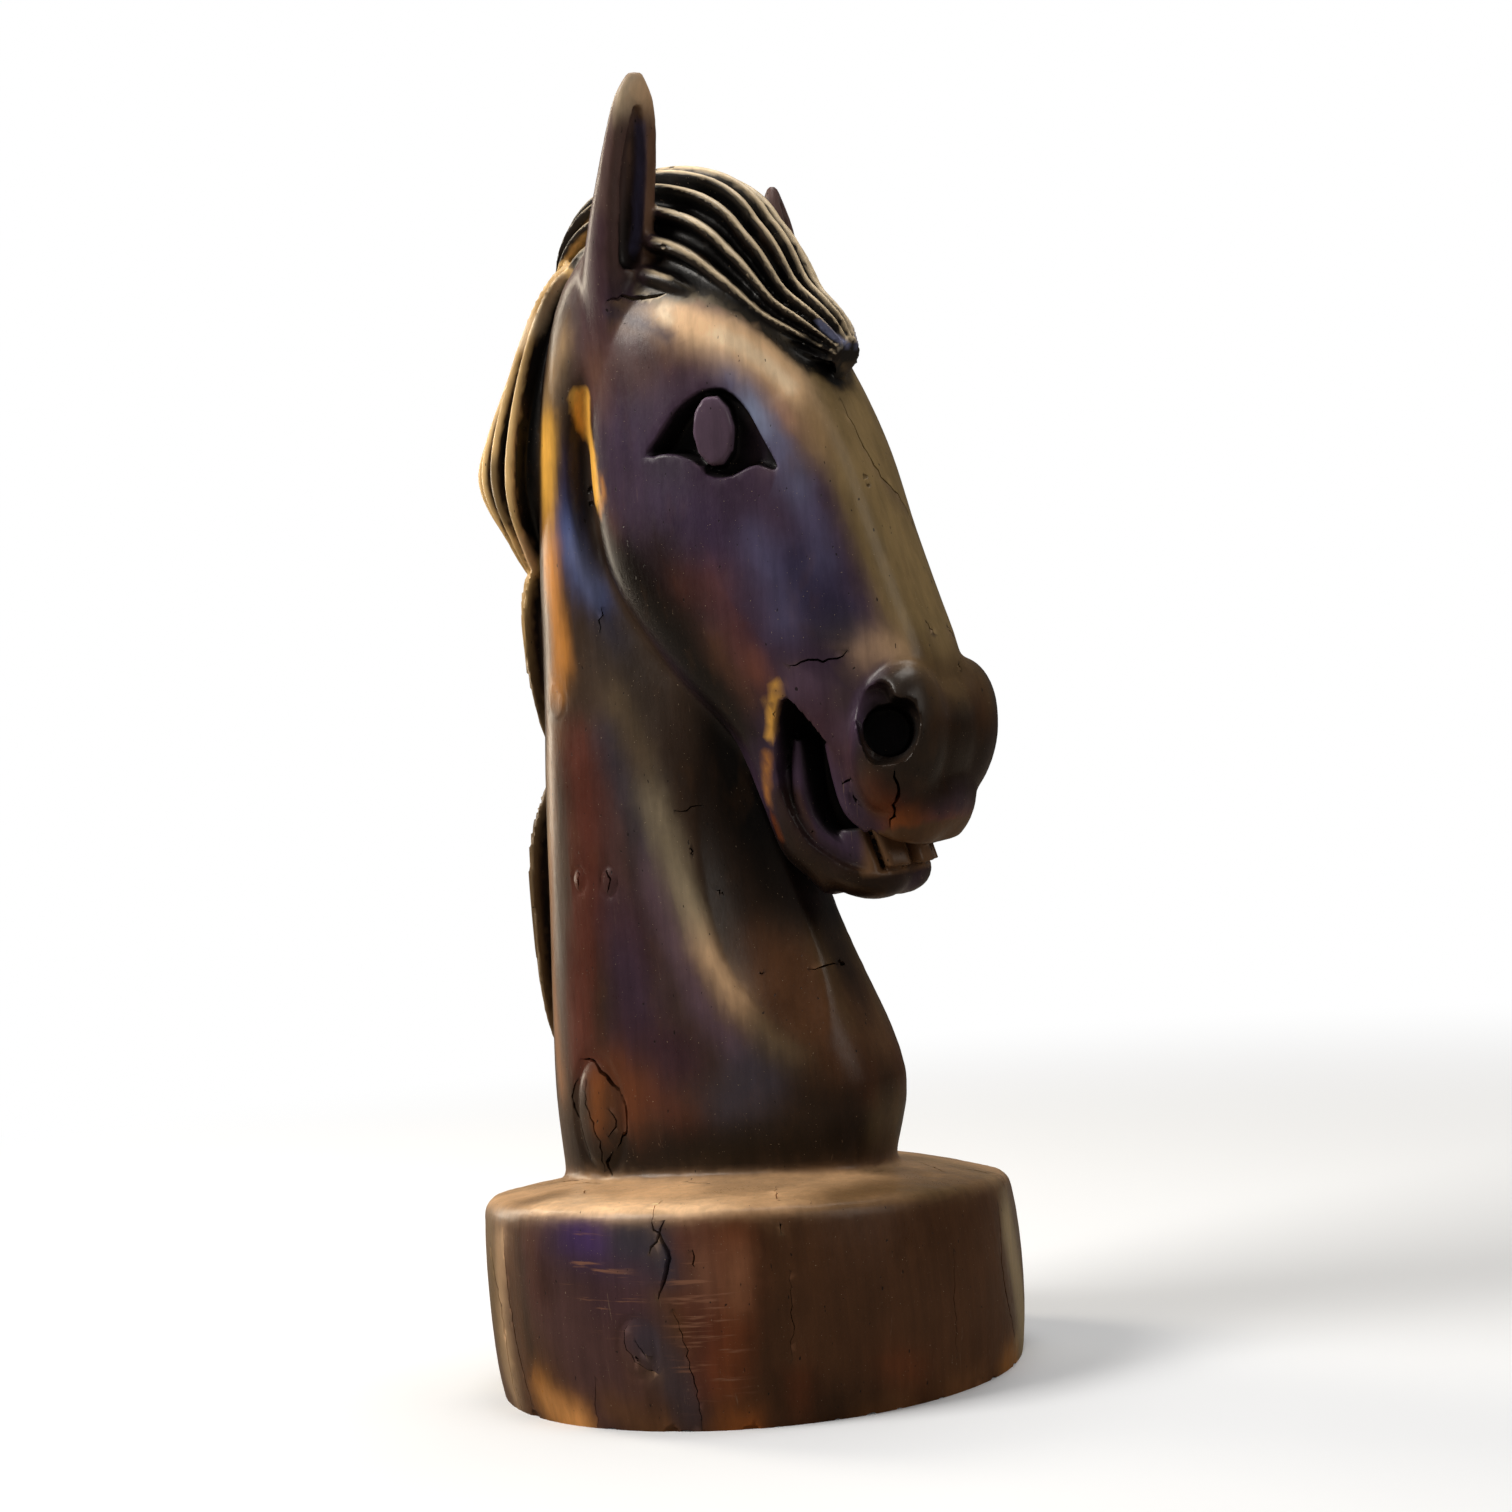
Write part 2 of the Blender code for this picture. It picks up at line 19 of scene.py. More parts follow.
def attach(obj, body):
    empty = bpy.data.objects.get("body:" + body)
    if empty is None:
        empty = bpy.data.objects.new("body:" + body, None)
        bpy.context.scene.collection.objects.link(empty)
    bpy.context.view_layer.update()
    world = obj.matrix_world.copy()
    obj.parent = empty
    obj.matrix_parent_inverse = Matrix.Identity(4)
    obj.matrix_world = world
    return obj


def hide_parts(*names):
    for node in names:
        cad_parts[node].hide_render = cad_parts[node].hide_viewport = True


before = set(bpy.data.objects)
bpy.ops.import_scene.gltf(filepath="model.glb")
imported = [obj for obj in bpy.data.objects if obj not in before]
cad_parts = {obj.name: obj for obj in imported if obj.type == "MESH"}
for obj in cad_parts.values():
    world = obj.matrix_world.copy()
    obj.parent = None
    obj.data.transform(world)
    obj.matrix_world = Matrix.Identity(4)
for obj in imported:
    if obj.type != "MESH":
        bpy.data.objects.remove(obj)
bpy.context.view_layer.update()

# Driving sizes, in metres
FIGURE_HEIGHT = 0.480  # foot of the neck to the tip of the taller ear
BASE_HEIGHT = 0.095  # floor to the foot of the neck
BASE_RADIUS = 0.1215
BASE_RIM_DROP = 0.0105  # how far the rim lies below the foot of the neck, on the whole
BASE_RIM_LEAN = 0.010  # how much higher than that it is on the right, and lower on the left
BASE_RIM_ROUND = 0.007
SAW_WASTE = 0.010  # the log runs on this far below the floor until it is sawn flat
ROUGH_VOXEL = 0.0020  # for the rough body, before anything is cut into it
ROUGH_SMOOTH_STEPS = 7
CARVED_VOXEL = 0.0010
CARVED_SMOOTH_STEPS = 2
SMOOTHING = 0.5  # strength of one step
MOST_TRIANGLES = 95000

FIGURE_UNITS = 480.0
UNIT = FIGURE_HEIGHT / FIGURE_UNITS
SIDEWAYS = (0, 1, 0)
RING_POINTS = 64
BODY_STEPS = 40  # rings along the neck and the head
SWEEP_STEPS = 30
CURVE_STEPS = 24  # points on a curve between two of its rows, before they are spread evenly
NARROWS_FROM = 0.35  # how far behind its middle a section begins to narrow, as a share

# How square the sections are, from 2 for an ellipse
NECK_SQUARE = 2.9
HEAD_SQUARE = 4.0
EAR_SQUARE = 2.4
MOUTH_SQUARE = 3.0
TOOTH_SQUARE = 5.0
LOCK_SQUARE = 2.2
RIDGE_SQUARE = 2.8

# Neck stations: height, back, front, half width, how much the front narrows
NECK = [
    (-20, -84, 73, 55, 0.42), (0, -84, 72, 54, 0.30), (36, -86, 81, 54, 0.28), (80, -83, 66, 52, 0.24),
    (125, -79, 50, 50, 0.22), (175, -76, 38, 47, 0.20), (214, -73, 34, 44, 0.15),
    (276, -68, 30, 43, 0.10), (345, -57, 30, 44, 0.05), (388, -44, 26, 40, 0.05),
    (412, -28, 14, 28, 0.05),
]

# Head stations from poll to lip: front x and z, rear x and z, half width, front narrowing
HEAD = [
    (36, 404, -24, 392, 30, 0.15), (64, 379, -25, 364, 43, 0.25), (85, 347, -27, 332, 48, 0.38),
    (101, 311, -27, 296, 51, 0.42), (111, 276, -19, 260, 53, 0.46), (120, 247, 6, 222, 50, 0.46),
    (129, 216, 31, 192, 42, 0.40), (127, 190, 43, 162, 39, 0.34), (126, 162, 50, 138, 35, 0.25),
    (120, 149, 60, 127, 30, 0.20), (99, 134, 68, 118, 25, 0.20),
]

# Hollow behind the cheek and the scoop at the throat: x, y, z, half width, half depth
CHEEK_HOLLOW = [
    (-17, 44, 356, 1.5, 3), (-19, 45, 341, 6, 9), (-21, 46, 322, 10, 13), (-20, 47, 300, 13, 14),
    (-15, 48, 277, 17, 14), (-6, 49, 257, 22, 14), (6, 49, 235, 26, 14), (22, 49, 210, 25, 14),
    (36, 48, 180, 20, 12), (46, 46, 155, 13, 8),
]
THROAT_SCOOP = [
    (26, 36, 210, 14, 6), (33, 35, 150, 25, 11), (45, 35, 104, 28, 13), (58, 35, 78, 26, 12),
    (72, 34, 52, 16, 7),
]
HOLLOW_OUTWARD = (0.2, 1, 0)
SCOOP_OUTWARD = (0.72, 0.69, 0)

# Ears: x, y, z of the front face's middle, half width and half depth; the left one is lower
RIGHT_EAR = [
    (-2, 31, 350, 14, 25), (7, 34, 385, 13, 20), (10, 36, 400, 13, 17.5), (14, 38, 420, 13, 13.5),
    (18, 39, 440, 12.5, 9.5), (23, 41, 458, 11, 7), (26, 43, 470, 8.5, 5), (28, 44, 480, 3.5, 3),
]
LEFT_EAR = [
    (24, 36, 345, 16, 22), (33, 46, 385, 16, 15), (36, 49, 400, 14, 11), (35, 50, 415, 11, 8),
    (33, 49, 426, 7.5, 5), (32, 48, 434, 3, 2.5),
]
EAR_FACING = (0.94, 0.34, 0)
EAR_FLAT = 0.62  # where the flat front face cuts the round of the ear
EAR_ROUND = 1.1  # the round behind the face is this much wider than it
EARS = {-1: RIGHT_EAR, 1: LEFT_EAR}
RIGHT_EAR_GOUGE = [
    (9, 37, 397, 3, 5), (10, 37, 402, 5.5, 8), (15, 38.5, 425, 6, 9), (19, 39.5, 443, 6, 8),
    (25, 42, 465, 2, 4),
]
LEFT_EAR_GOUGE = [(35, 49, 392, 3, 5), (36, 49.5, 398, 6, 7), (36, 50, 412, 5, 6), (34, 49, 426, 2, 3)]
EAR_GOUGES = {-1: RIGHT_EAR_GOUGE, 1: LEFT_EAR_GOUGE}

# Eye: a deep lidded socket with a cut knob in it, in steps along the cheek and up it
EYE_CENTRE = (48, 46, 318)
EYE_FACING = (0.14, 1, 0.04)
EYE_LIDS = [
    (-33, -4), (-25, 5), (-16, 16), (-6, 23), (3, 25), (10, 22), (17, 14), (24, 0), (31, -16),
    (20, -12), (8, -16), (-2, -15), (-8, -8), (-20, -3),
]
EYE_DEPTH = 15
KNOB_OFFSET = (2.5, 4.5)
KNOB_HALF = (8.6, 15)
KNOB_FACETS = 10
KNOB_CENTRE = (48, 45, 318)
KNOB_FACING = (0.45, 0.88, 0)
KNOB_RISE = 1
KNOB_DEPTH = 19
KNOB_FLARE = 1.1  # size of its root as a share of its cut face

# Nostril: a heart-shaped opening with a drilled hole in it
NOSTRIL_CENTRE = (117, 33, 193)
NOSTRIL_FACING = (0.62, 0.78, 0.08)
NOSTRIL_EDGE = [
    (-14, 3), (-11, 14), (-3, 18), (2, 15), (4, 10), (11, 8), (14, -2), (9, -15), (0, -18), (-8, -16),
]
NOSTRIL_DEPTH = 8
DRILL_OFFSET = (2.4, -3.2)
DRILL_RADIUS = 11
DRILL_DEPTH = 26
DRILL_POINTS = 24
PIT_FLOOR = 0.85  # size of a pit's floor as a share of its mouth
CUTTER_REACH = 25  # how far a cutter stands out of the wood

# Mouth: x, y, z, half width of the gap, half reach inward
MOUTH = [
    (72, 42, 206, 2, 20), (73, 42, 197, 7, 26), (75, 42, 188, 10.5, 28), (77, 42, 178, 14, 28),
    (79, 41, 166, 15, 28), (83, 39, 153, 13.5, 28), (89, 37, 145, 12, 29), (97, 35, 139, 10.5, 32),
    (109, 32, 134, 8, 32), (134, 30, 129, 7, 32),
]
LOWER_GUM = [
    (70, 24, 188, 3, 8), (69, 24, 174, 4.5, 9), (70, 24, 160, 4.5, 9), (75, 22, 147, 4.5, 8),
    (88, 17, 134, 4, 7),
]
UPPER_GUM = [(88, 26, 186, 4, 8), (91, 26, 170, 4.5, 8), (94, 25, 158, 4.5, 8), (99, 21, 150, 4, 8)]
TOOTH_ANGLES = (-74, -38, 0, 38, 74)
TOOTH_ARCH_CENTRE = (84, 0, 139)
TOOTH_ARCH_REACH = (22, 21)
TOOTH_HALF = (5.4, 3.5, 9)  # half width, half depth, half height
TOOTH_DOWN = (0.3, 0, -0.95)  # the teeth lean forward

# Swellings of the muzzle: centre, half sizes, turn about Y
SWELLINGS = [
    ((115, 20, 184), (20, 23, 34), 16), ((112, 10, 158), (16, 20, 23), 15),
    ((82, 8, 132), (23, 22, 14), 25), ((117, 3, 184), (18, 22, 28), 14),
    ((112, 3, 160), (18, 20, 22), 15),
]

# Locks of hair: x, y, z on the skin, half width, thickness
FORELOCK = [
    (-40, 0, 372, 20, 32), (-14, 0, 386, 30, 54), (20, 0, 384, 36, 56), (42, 0, 376, 32, 43),
    (62, 0, 365, 27, 27), (76, 0, 358, 21, 20), (86, 0, 352, 15, 15), (93, 0, 348, 9, 9),
]
MANE = [
    [(-34, 0, 400, 22, 13), (-46, -3, 384, 28, 16), (-54, -5, 350, 35, 27), (-61, -5, 310, 38, 42),
     (-66, -4, 282, 28, 24), (-69, -2, 256, 12, 6)],
    [(-60, 20, 330, 12, 8), (-66, 22, 290, 24, 22), (-70, 20, 250, 26, 26), (-73, 16, 205, 20, 18),
     (-74, 12, 172, 8, 6)],
    [(-66, -6, 286, 12, 6), (-69, -6, 264, 24, 12), (-71, -7, 240, 26, 11), (-73, -7, 210, 20, 8),
     (-75, -6, 184, 8, 4)],
    [(-75, -8, 182, 8, 4), (-78, -10, 150, 22, 10), (-80, -9, 112, 24, 12), (-83, -8, 72, 20, 8),
     (-84, -6, 40, 8, 4)],
    [(-75, 18, 188, 10, 6), (-77, 21, 150, 20, 17), (-80, 21, 105, 22, 18), (-83, 17, 62, 14, 9),
     (-84, 12, 34, 6, 4)],
]
FORELOCK_OUTWARD = (0.25, 0, 1)
MANE_OUTWARD = (-1, 0, 0.1)
MANE_WAVE = 0.25  # sway of the ridges along a lock, in radians round it
FORELOCK_RIDGES = 11
FORELOCK_FAN = (0.85, 1.2)  # spread of the ridges at its two ends as shares of RIDGE_SPREAD
MANE_FAN = (1, 1)
MANE_RIDGES = 10
RIDGE_SPREAD = 82  # degrees each way from the middle of a lock
RIDGE_SHARE = 0.29  # a ridge's half width as a share of the way to its neighbour
HAIR_GROOVE = 9.0  # how far the ridges stand out of a lock
FINEST_RIDGE = 1.1  # least half width
LOCK_STEPS = 60

# The log's lower end, as shares of its radius
BASE_BARREL = 0.030
BASE_WIDEST = 0.55  # height of the fullest part as a share of the wall
BASE_CREST = 0.25  # share of the rim's radius where the top's rise ends, under the neck
BASE_CROWN = 1.6  # power of the curve of the top
BASE_LEAN_TOWARDS = -80  # direction of the rim's high side, in degrees
BASE_WAVES = [(2, 0.012, 0.6), (3, 0.008, 1.9)]  # out of round: waves, share, phase
BASE_POINTS = 72
WALL_RINGS, RIM_RINGS, TOP_RINGS = 9, 5, 6
RIM_TURN = (0.1, 0.5)  # first and last ring of the rounded rim, in half turns
TOP_FROM = 0.15  # first ring of the top, as a share of the way to the neck


def place(point):
    """A point of the figure, in metres in the part's frame."""
    return Vector(point) * UNIT + Vector((0, 0, BASE_HEIGHT))


def smooth_curve(points, count):
    """count points, evenly spread, on a Catmull-Rom curve through points of any dimension."""
    p = np.array(points, float)
    p = np.vstack([2 * p[0] - p[1], p, 2 * p[-1] - p[-2]])
    fine = []
    for a, b, c, d in zip(p, p[1:], p[2:], p[3:]):
        for t in np.linspace(0, 1, CURVE_STEPS, endpoint=False):
            curve = 2 * b + (c - a) * t
            curve += (2 * a - 5 * b + 4 * c - d) * t**2
            curve += (3 * b - a - 3 * c + d) * t**3
            fine.append(curve / 2)
    fine = np.array(fine + [p[-2]])
    steps = np.linalg.norm(np.diff(fine[:, :3], axis=0), axis=1)
    run = np.concatenate([[0], np.cumsum(steps)])
    at = np.linspace(0, run[-1], count)
    return np.stack([np.interp(at, run, fine[:, k]) for k in range(fine.shape[1])], 1)


def new_object(name, bm):
    mesh = bpy.data.meshes.new(name)
    bm.to_mesh(mesh)
    bm.free()
    obj = bpy.data.objects.new(name, mesh)
    bpy.context.scene.collection.objects.link(obj)
    return obj


def loft(name, rings):
    """A closed solid through rings of points."""
    bm = bmesh.new()
    loops = [[bm.verts.new(p) for p in ring] for ring in rings]
    count = len(loops[0])
    for low, high in zip(loops, loops[1:]):
        for k in range(count):
            n = (k + 1) % count
            bm.faces.new((low[k], low[n], high[n], high[k]))
    bm.faces.new(loops[0])
    bm.faces.new(loops[-1])
    bmesh.ops.recalc_face_normals(bm, faces=bm.faces)
    return new_object(name, bm)


def figure_loft(name, rings):
    return loft(name, [[place(p) for p in ring] for ring in rings])


def section(centre, forward, side, half_length, half_width, squareness, narrowing=0, flat=1):
    """A superellipse ring, narrower or cut flat towards its front."""
    ring = []
    for k in range(RING_POINTS):
        angle = 2 * math.pi * k / RING_POINTS
        c, s = math.cos(angle), math.sin(angle)
        u = math.copysign(abs(c) ** (2 / squareness), c)
        v = math.copysign(abs(s) ** (2 / squareness), s)
        t = min(1, max(0, (u + NARROWS_FROM) / (1 + NARROWS_FROM)))
        v *= 1 - narrowing * t * t * (3 - 2 * t)
        ring.append(centre + forward * (half_length * min(u, flat)) + side * (half_width * v))
    return ring


def frames(points, outward):
    """At each point of a path: the point, the outward way square to the path, and the way across."""
    points = [Vector(p) for p in points]
    last = len(points) - 1
    for k, point in enumerate(points):
        ahead = (points[min(k + 1, last)] - points[max(k - 1, 0)]).normalized()
        up = (outward - ahead * ahead.dot(outward)).normalized()
        yield point, up, ahead.cross(up)


def sweep(name, rows, outward, squareness=2.0):
    """A body along rows of x, y, z, half width and half height, its height turned outward."""
    rows = smooth_curve(rows, SWEEP_STEPS)
    rings = []
    for row, (point, up, across) in zip(rows, frames(rows[:, :3], Vector(outward))):
        rings.append(section(point, up, across, row[4], row[3], squareness))
    return figure_loft(name, rings)


def sided(row, side):
    """A table's row on the right or the left of the figure."""
    return (row[0], row[1] * side, *row[2:])


def sided_sweep(name, rows, outward, side, **shape):
    """The sweep of a table of the paired features, on one side."""
    return sweep(name, [sided(row, side) for row in rows], sided(outward, side), **shape)


def pit(name, centre, facing, outline, depth, floor=PIT_FLOOR, reach=CUTTER_REACH):
    """A cutter that sinks an outline below a face; floor is its size at the bottom."""
    facing = facing.normalized()
    along = (Vector((1, 0, 0)) - facing * facing.x).normalized()
    up = facing.cross(along)
    up *= math.copysign(1, up.z)
    rings = []
    for distance, share in ((-depth, floor), (0, 1), (reach, 1)):
        middle = centre + facing * distance
        rings.append([middle + along * (a * share) + up * (b * share) for a, b in outline])
    return figure_loft(name, rings)


def oval(half_width, half_height, count):
    steps = [2 * math.pi * k / count for k in range(count)]
    return [(half_width * math.cos(a), half_height * math.sin(a)) for a in steps]


def shift(outline, offset):
    return [(a + offset[0], b + offset[1]) for a, b in outline]


def round_outline(points, count=40):
    loop = [(*p, 0) for p in [*points, points[0]]]
    return [tuple(p) for p in smooth_curve(loop, count + 1)[:-1, :2]]


def ellipsoid(name, centre, radii, lean):
    bm = bmesh.new()
    bmesh.ops.create_uvsphere(bm, u_segments=32, v_segments=20, radius=1)
    bm.transform(Matrix.Rotation(math.radians(lean), 4, "Y") @ Matrix.Diagonal((*radii, 1)))
    for vert in bm.verts:
        vert.co = place(vert.co + Vector(centre))
    return new_object(name, bm)


def join(name, objects):
    """One object with the bodies of all the objects."""
    bm = bmesh.new()
    for obj in objects:
        bm.from_mesh(obj.data)
        bpy.data.objects.remove(obj)
    return new_object(name, bm)


def bake_modifiers(obj):
    graph = bpy.context.evaluated_depsgraph_get()
    mesh = bpy.data.meshes.new_from_object(obj.evaluated_get(graph))
    obj.modifiers.clear()
    obj.data = mesh


def fuse(obj, voxel, smoothing):
    """Turns overlapping bodies into one skin of even faces, then softens it."""
    modifier = obj.modifiers.new("fuse", "REMESH")
    modifier.mode = "VOXEL"
    modifier.voxel_size = voxel
    soften = obj.modifiers.new("soften", "SMOOTH")
    soften.factor = SMOOTHING
    soften.iterations = smoothing
    bake_modifiers(obj)


def carve(obj, cutter, crossing=False):
    """Takes a cutter's bodies away from an object; crossing is for bodies that overlap."""
    modifier = obj.modifiers.new("carve", "BOOLEAN")
    modifier.operation = "DIFFERENCE"
    modifier.object = cutter
    modifier.use_self = crossing
    bake_modifiers(obj)
    bpy.data.objects.remove(cutter)


def make_neck():
    rings = []
    for height, back, front, half_width, narrowing in smooth_curve(NECK, BODY_STEPS):
        centre = Vector(((back + front) / 2, 0, height))
        half_length = (front - back) / 2
        forward, across = Vector((1, 0, 0)), Vector((0, 1, 0))
        rings.append(section(centre, forward, across, half_length, half_width, NECK_SQUARE, narrowing))
    neck = figure_loft("neck", rings)
    for side in (-1, 1):
        for rows, outward in ((CHEEK_HOLLOW, HOLLOW_OUTWARD), (THROAT_SCOOP, SCOOP_OUTWARD)):
            carve(neck, sided_sweep("hollow", rows, outward, side))
    return neck


def make_head():
    rings = []
    for front_x, front_z, rear_x, rear_z, half_width, narrowing in smooth_curve(HEAD, BODY_STEPS):
        front, rear = Vector((front_x, 0, front_z)), Vector((rear_x, 0, rear_z))
        centre, reach = (front + rear) / 2, front - rear
        forward, across = reach.normalized(), Vector((0, 1, 0))
        half_length = reach.length / 2
        rings.append(section(centre, forward, across, half_length, half_width, HEAD_SQUARE, narrowing))
    return figure_loft("head", rings)


def make_swellings():
    bodies = []
    for centre, radii, lean in SWELLINGS:
        for side in (-1, 1):
            bodies.append(ellipsoid("swelling", sided(centre, side), radii, lean))
    return bodies


def make_ear(side):
    facing = Vector(sided(EAR_FACING, side))
    across = facing.cross(Vector((0, 0, 1)))
    rings = []
    for x, y, z, half_width, half_depth in smooth_curve(EARS[side], SWEEP_STEPS):
        face = Vector((x, y * side, z))
        centre = face - facing * (half_depth * EAR_FLAT)
        half_round = half_width * EAR_ROUND
        rings.append(section(centre, facing, across, half_depth, half_round, EAR_SQUARE, flat=EAR_FLAT))
    return figure_loft("ear", rings)


def ear_gouge(side):
    return sided_sweep("ear_gouge", EAR_GOUGES[side], EAR_FACING, side)


def sided_pit(name, centre, facing, outline, depth, side, **shape):
    return pit(name, Vector(sided(centre, side)), Vector(sided(facing, side)), outline, depth, **shape)


def eye_socket(side):
    return sided_pit("eye_socket", EYE_CENTRE, EYE_FACING, round_outline(EYE_LIDS), EYE_DEPTH, side)


def eye_knob(side):
    outline = shift(oval(*KNOB_HALF, KNOB_FACETS), KNOB_OFFSET)
    shape = {"floor": KNOB_FLARE, "reach": KNOB_RISE}
    return sided_pit("eye_knob", KNOB_CENTRE, KNOB_FACING, outline, KNOB_DEPTH, side, **shape)


def nostril(side):
    outline = round_outline(NOSTRIL_EDGE)
    return sided_pit("nostril", NOSTRIL_CENTRE, NOSTRIL_FACING, outline, NOSTRIL_DEPTH, side)


def nostril_hole(side):
    outline = shift(oval(DRILL_RADIUS, DRILL_RADIUS, DRILL_POINTS), DRILL_OFFSET)
    return sided_pit("nostril_hole", NOSTRIL_CENTRE, NOSTRIL_FACING, outline, DRILL_DEPTH, side, floor=1)


def mouth_gap(side):
    return sided_sweep("mouth_gap", MOUTH, SIDEWAYS, side, squareness=MOUTH_SQUARE)


def make_teeth():
    """The front teeth stand on an arch under the upper lip, between the gums of the sides."""
    bodies = []
    down = Vector(TOOTH_DOWN).normalized()
    half_width, half_depth, half_height = TOOTH_HALF
    for angle in TOOTH_ANGLES:
        a = math.radians(angle)
        out = Vector((math.cos(a), math.sin(a), 0))
        across = out.cross(Vector((0, 0, 1)))
        centre = Vector(TOOTH_ARCH_CENTRE)
        centre += Vector((TOOTH_ARCH_REACH[0] * out.x, TOOTH_ARCH_REACH[1] * out.y, 0))
        rings = []
        for end in (-half_height, half_height):
            rings.append(section(centre + down * end, out, across, half_depth, half_width, TOOTH_SQUARE))
        bodies.append(figure_loft("tooth", rings))
    for side in (-1, 1):
        for rows in (LOWER_GUM, UPPER_GUM):
            bodies.append(sided_sweep("gum", rows, SIDEWAYS, side, squareness=MOUTH_SQUARE))
    return bodies


def make_lock(rows, outward, ridges, wave, fan):
    """A lock of hair: a plain core with ridges drawn along it, which meet at its ends."""
    rows = smooth_curve(rows, LOCK_STEPS)
    core = []
    strands = [[] for _ in range(ridges)]
    spread = math.radians(RIDGE_SPREAD)
    gap = 2 * spread / (ridges - 1)
    for k, (row, (point, up, across)) in enumerate(zip(rows, frames(rows[:, :3], Vector(outward)))):
        half_width, thickness = row[3], row[4]
        core_height, core_width = max(1, thickness - HAIR_GROOVE), max(1, half_width - HAIR_GROOVE)
        core.append(section(point, up, across, core_height, core_width, LOCK_SQUARE))
        sway = wave * math.sin(2 * math.pi * k / LOCK_STEPS)
        for j, strand in enumerate(strands):
            angle = (gap * j - spread) * (fan[0] + (fan[1] - fan[0]) * k / LOCK_STEPS)
            angle += sway * math.cos(angle)
            c, s = math.cos(angle), math.sin(angle)
            skin = point + up * (thickness * c) + across * (half_width * s)
            out = (up * (half_width * c) + across * (thickness * s)).normalized()
            over = (across * (thickness * c) - up * (half_width * s)).normalized()
            spacing = gap * math.hypot(thickness * s, half_width * c)
            half = max(FINEST_RIDGE, spacing * RIDGE_SHARE)
            strand.append(section(skin - out * HAIR_GROOVE, out, over, HAIR_GROOVE, half, RIDGE_SQUARE))
    return [figure_loft("lock", core), *[figure_loft("strand", strand) for strand in strands]]


def make_hair():
    bodies = make_lock(FORELOCK, FORELOCK_OUTWARD, FORELOCK_RIDGES, 0, FORELOCK_FAN)
    for rows in MANE:
        bodies += make_lock(rows, MANE_OUTWARD, MANE_RIDGES, MANE_WAVE, MANE_FAN)
    return bodies


def base_levels():
    """Height, share of the radius and share of the lean, from below the floor to under the neck."""
    wall = BASE_HEIGHT - BASE_RIM_DROP - BASE_RIM_ROUND
    for t in np.linspace(-SAW_WASTE / wall, 1, WALL_RINGS):
        yield t * wall, 1 - BASE_BARREL * (2 * (t - BASE_WIDEST)) ** 2, t
    edge = 1 - BASE_BARREL * (2 * (1 - BASE_WIDEST)) ** 2
    round_share = BASE_RIM_ROUND / BASE_RADIUS
    for turn in np.linspace(*RIM_TURN, RIM_RINGS) * math.pi:
        yield wall + BASE_RIM_ROUND * math.sin(turn), edge - round_share * (1 - math.cos(turn)), 1
    rim = edge - round_share
    for t in np.linspace(TOP_FROM, 1, TOP_RINGS):
        fall = (1 - t) ** BASE_CROWN
        yield BASE_HEIGHT - BASE_RIM_DROP * fall, rim * (1 - (1 - BASE_CREST) * t), fall


def make_base():
    """The log's lower end: slightly out of round, barrelled, with a rounded rim and a low crown."""
    towards = math.radians(BASE_LEAN_TOWARDS)
    rings = []
    for z, share, lean in base_levels():
        ring = []
        for k in range(BASE_POINTS):
            a = 2 * math.pi * k / BASE_POINTS
            radius = BASE_RADIUS * share
            radius *= 1 + sum(part * math.cos(waves * a + phase) for waves, part, phase in BASE_WAVES)
            rise = BASE_RIM_LEAN * lean * math.cos(a - towards)
            ring.append(Vector((radius * math.cos(a), radius * math.sin(a), z + rise)))
        rings.append(ring)
    return loft("base", rings)


SHARP_ANGLE = 50  # edges sharper than this look sharp, in degrees
LONGEST_EDGE = 0.0048  # in metres, so that the stain has enough points to lie on

# Low relief, in figure units. Flats hewn on the log's side: direction in degrees and how deep
HEWN_FLATS = [(-144, 2.0), (-120, 2.8), (24, 4.3), (70, 1.4), (118, 2.4), (168, 1.6)]
HEWN_EDGE = 0.8  # softness of their edges
HEWN_SPREAD = 0.7  # cosine of the angle from a flat's middle where it ends at the latest
WALL_BELOW, WALL_BEYOND = (12, 16), (90, 100)  # where the log's side fades in, down and outward
UNDULATION = 0.45  # height of the uneven sanding
UNDULATION_NOISE = (30, 3.1, (1, 1, 0.5))  # size, seed and stretch
SCALLOPS = 0.5  # height of the gouge marks on the base's top
SCALLOP_NOISE = (14, 8.4)
SCALLOPS_FACING = (0.6, 0.9)  # where they fade in, as the skin turns up
SCALLOPS_BELOW = 2
CLOUD_START = (1, 1.7, -1)  # where in the noise a seed begins
KNOT_SWELL = (0.1, 0.95)  # where a knot's bulge falls away, as shares of its reach
KNOT_RING = 0.14  # width of the groove round it, as a share
KNOT_LIES_FLAT = 12  # knots nearer to the level of the neck's foot lie on the log's top

# Knots: centre, half width across the grain, half height along it, bulge, groove round it
KNOTS = [
    ((-41, -52, 28), 15, 26, 1.6, 1.2), ((-43, -49, 133), 4, 6, 0.5, 0.6),
    ((-25, -49, 132), 4.5, 7, 0.6, 0.7), ((20, -118, -59), 9, 13, 0.5, 0.5),
    ((93, 3, -8), 7, 5, -1.2, 0.3), ((-52, -39, 213), 8, 10, -0.6, 0.3),
    ((-30, 52, 96), 10, 17, 1.2, 1.0), ((-70, 100, -50), 9, 12, 0.5, 0.5),
]

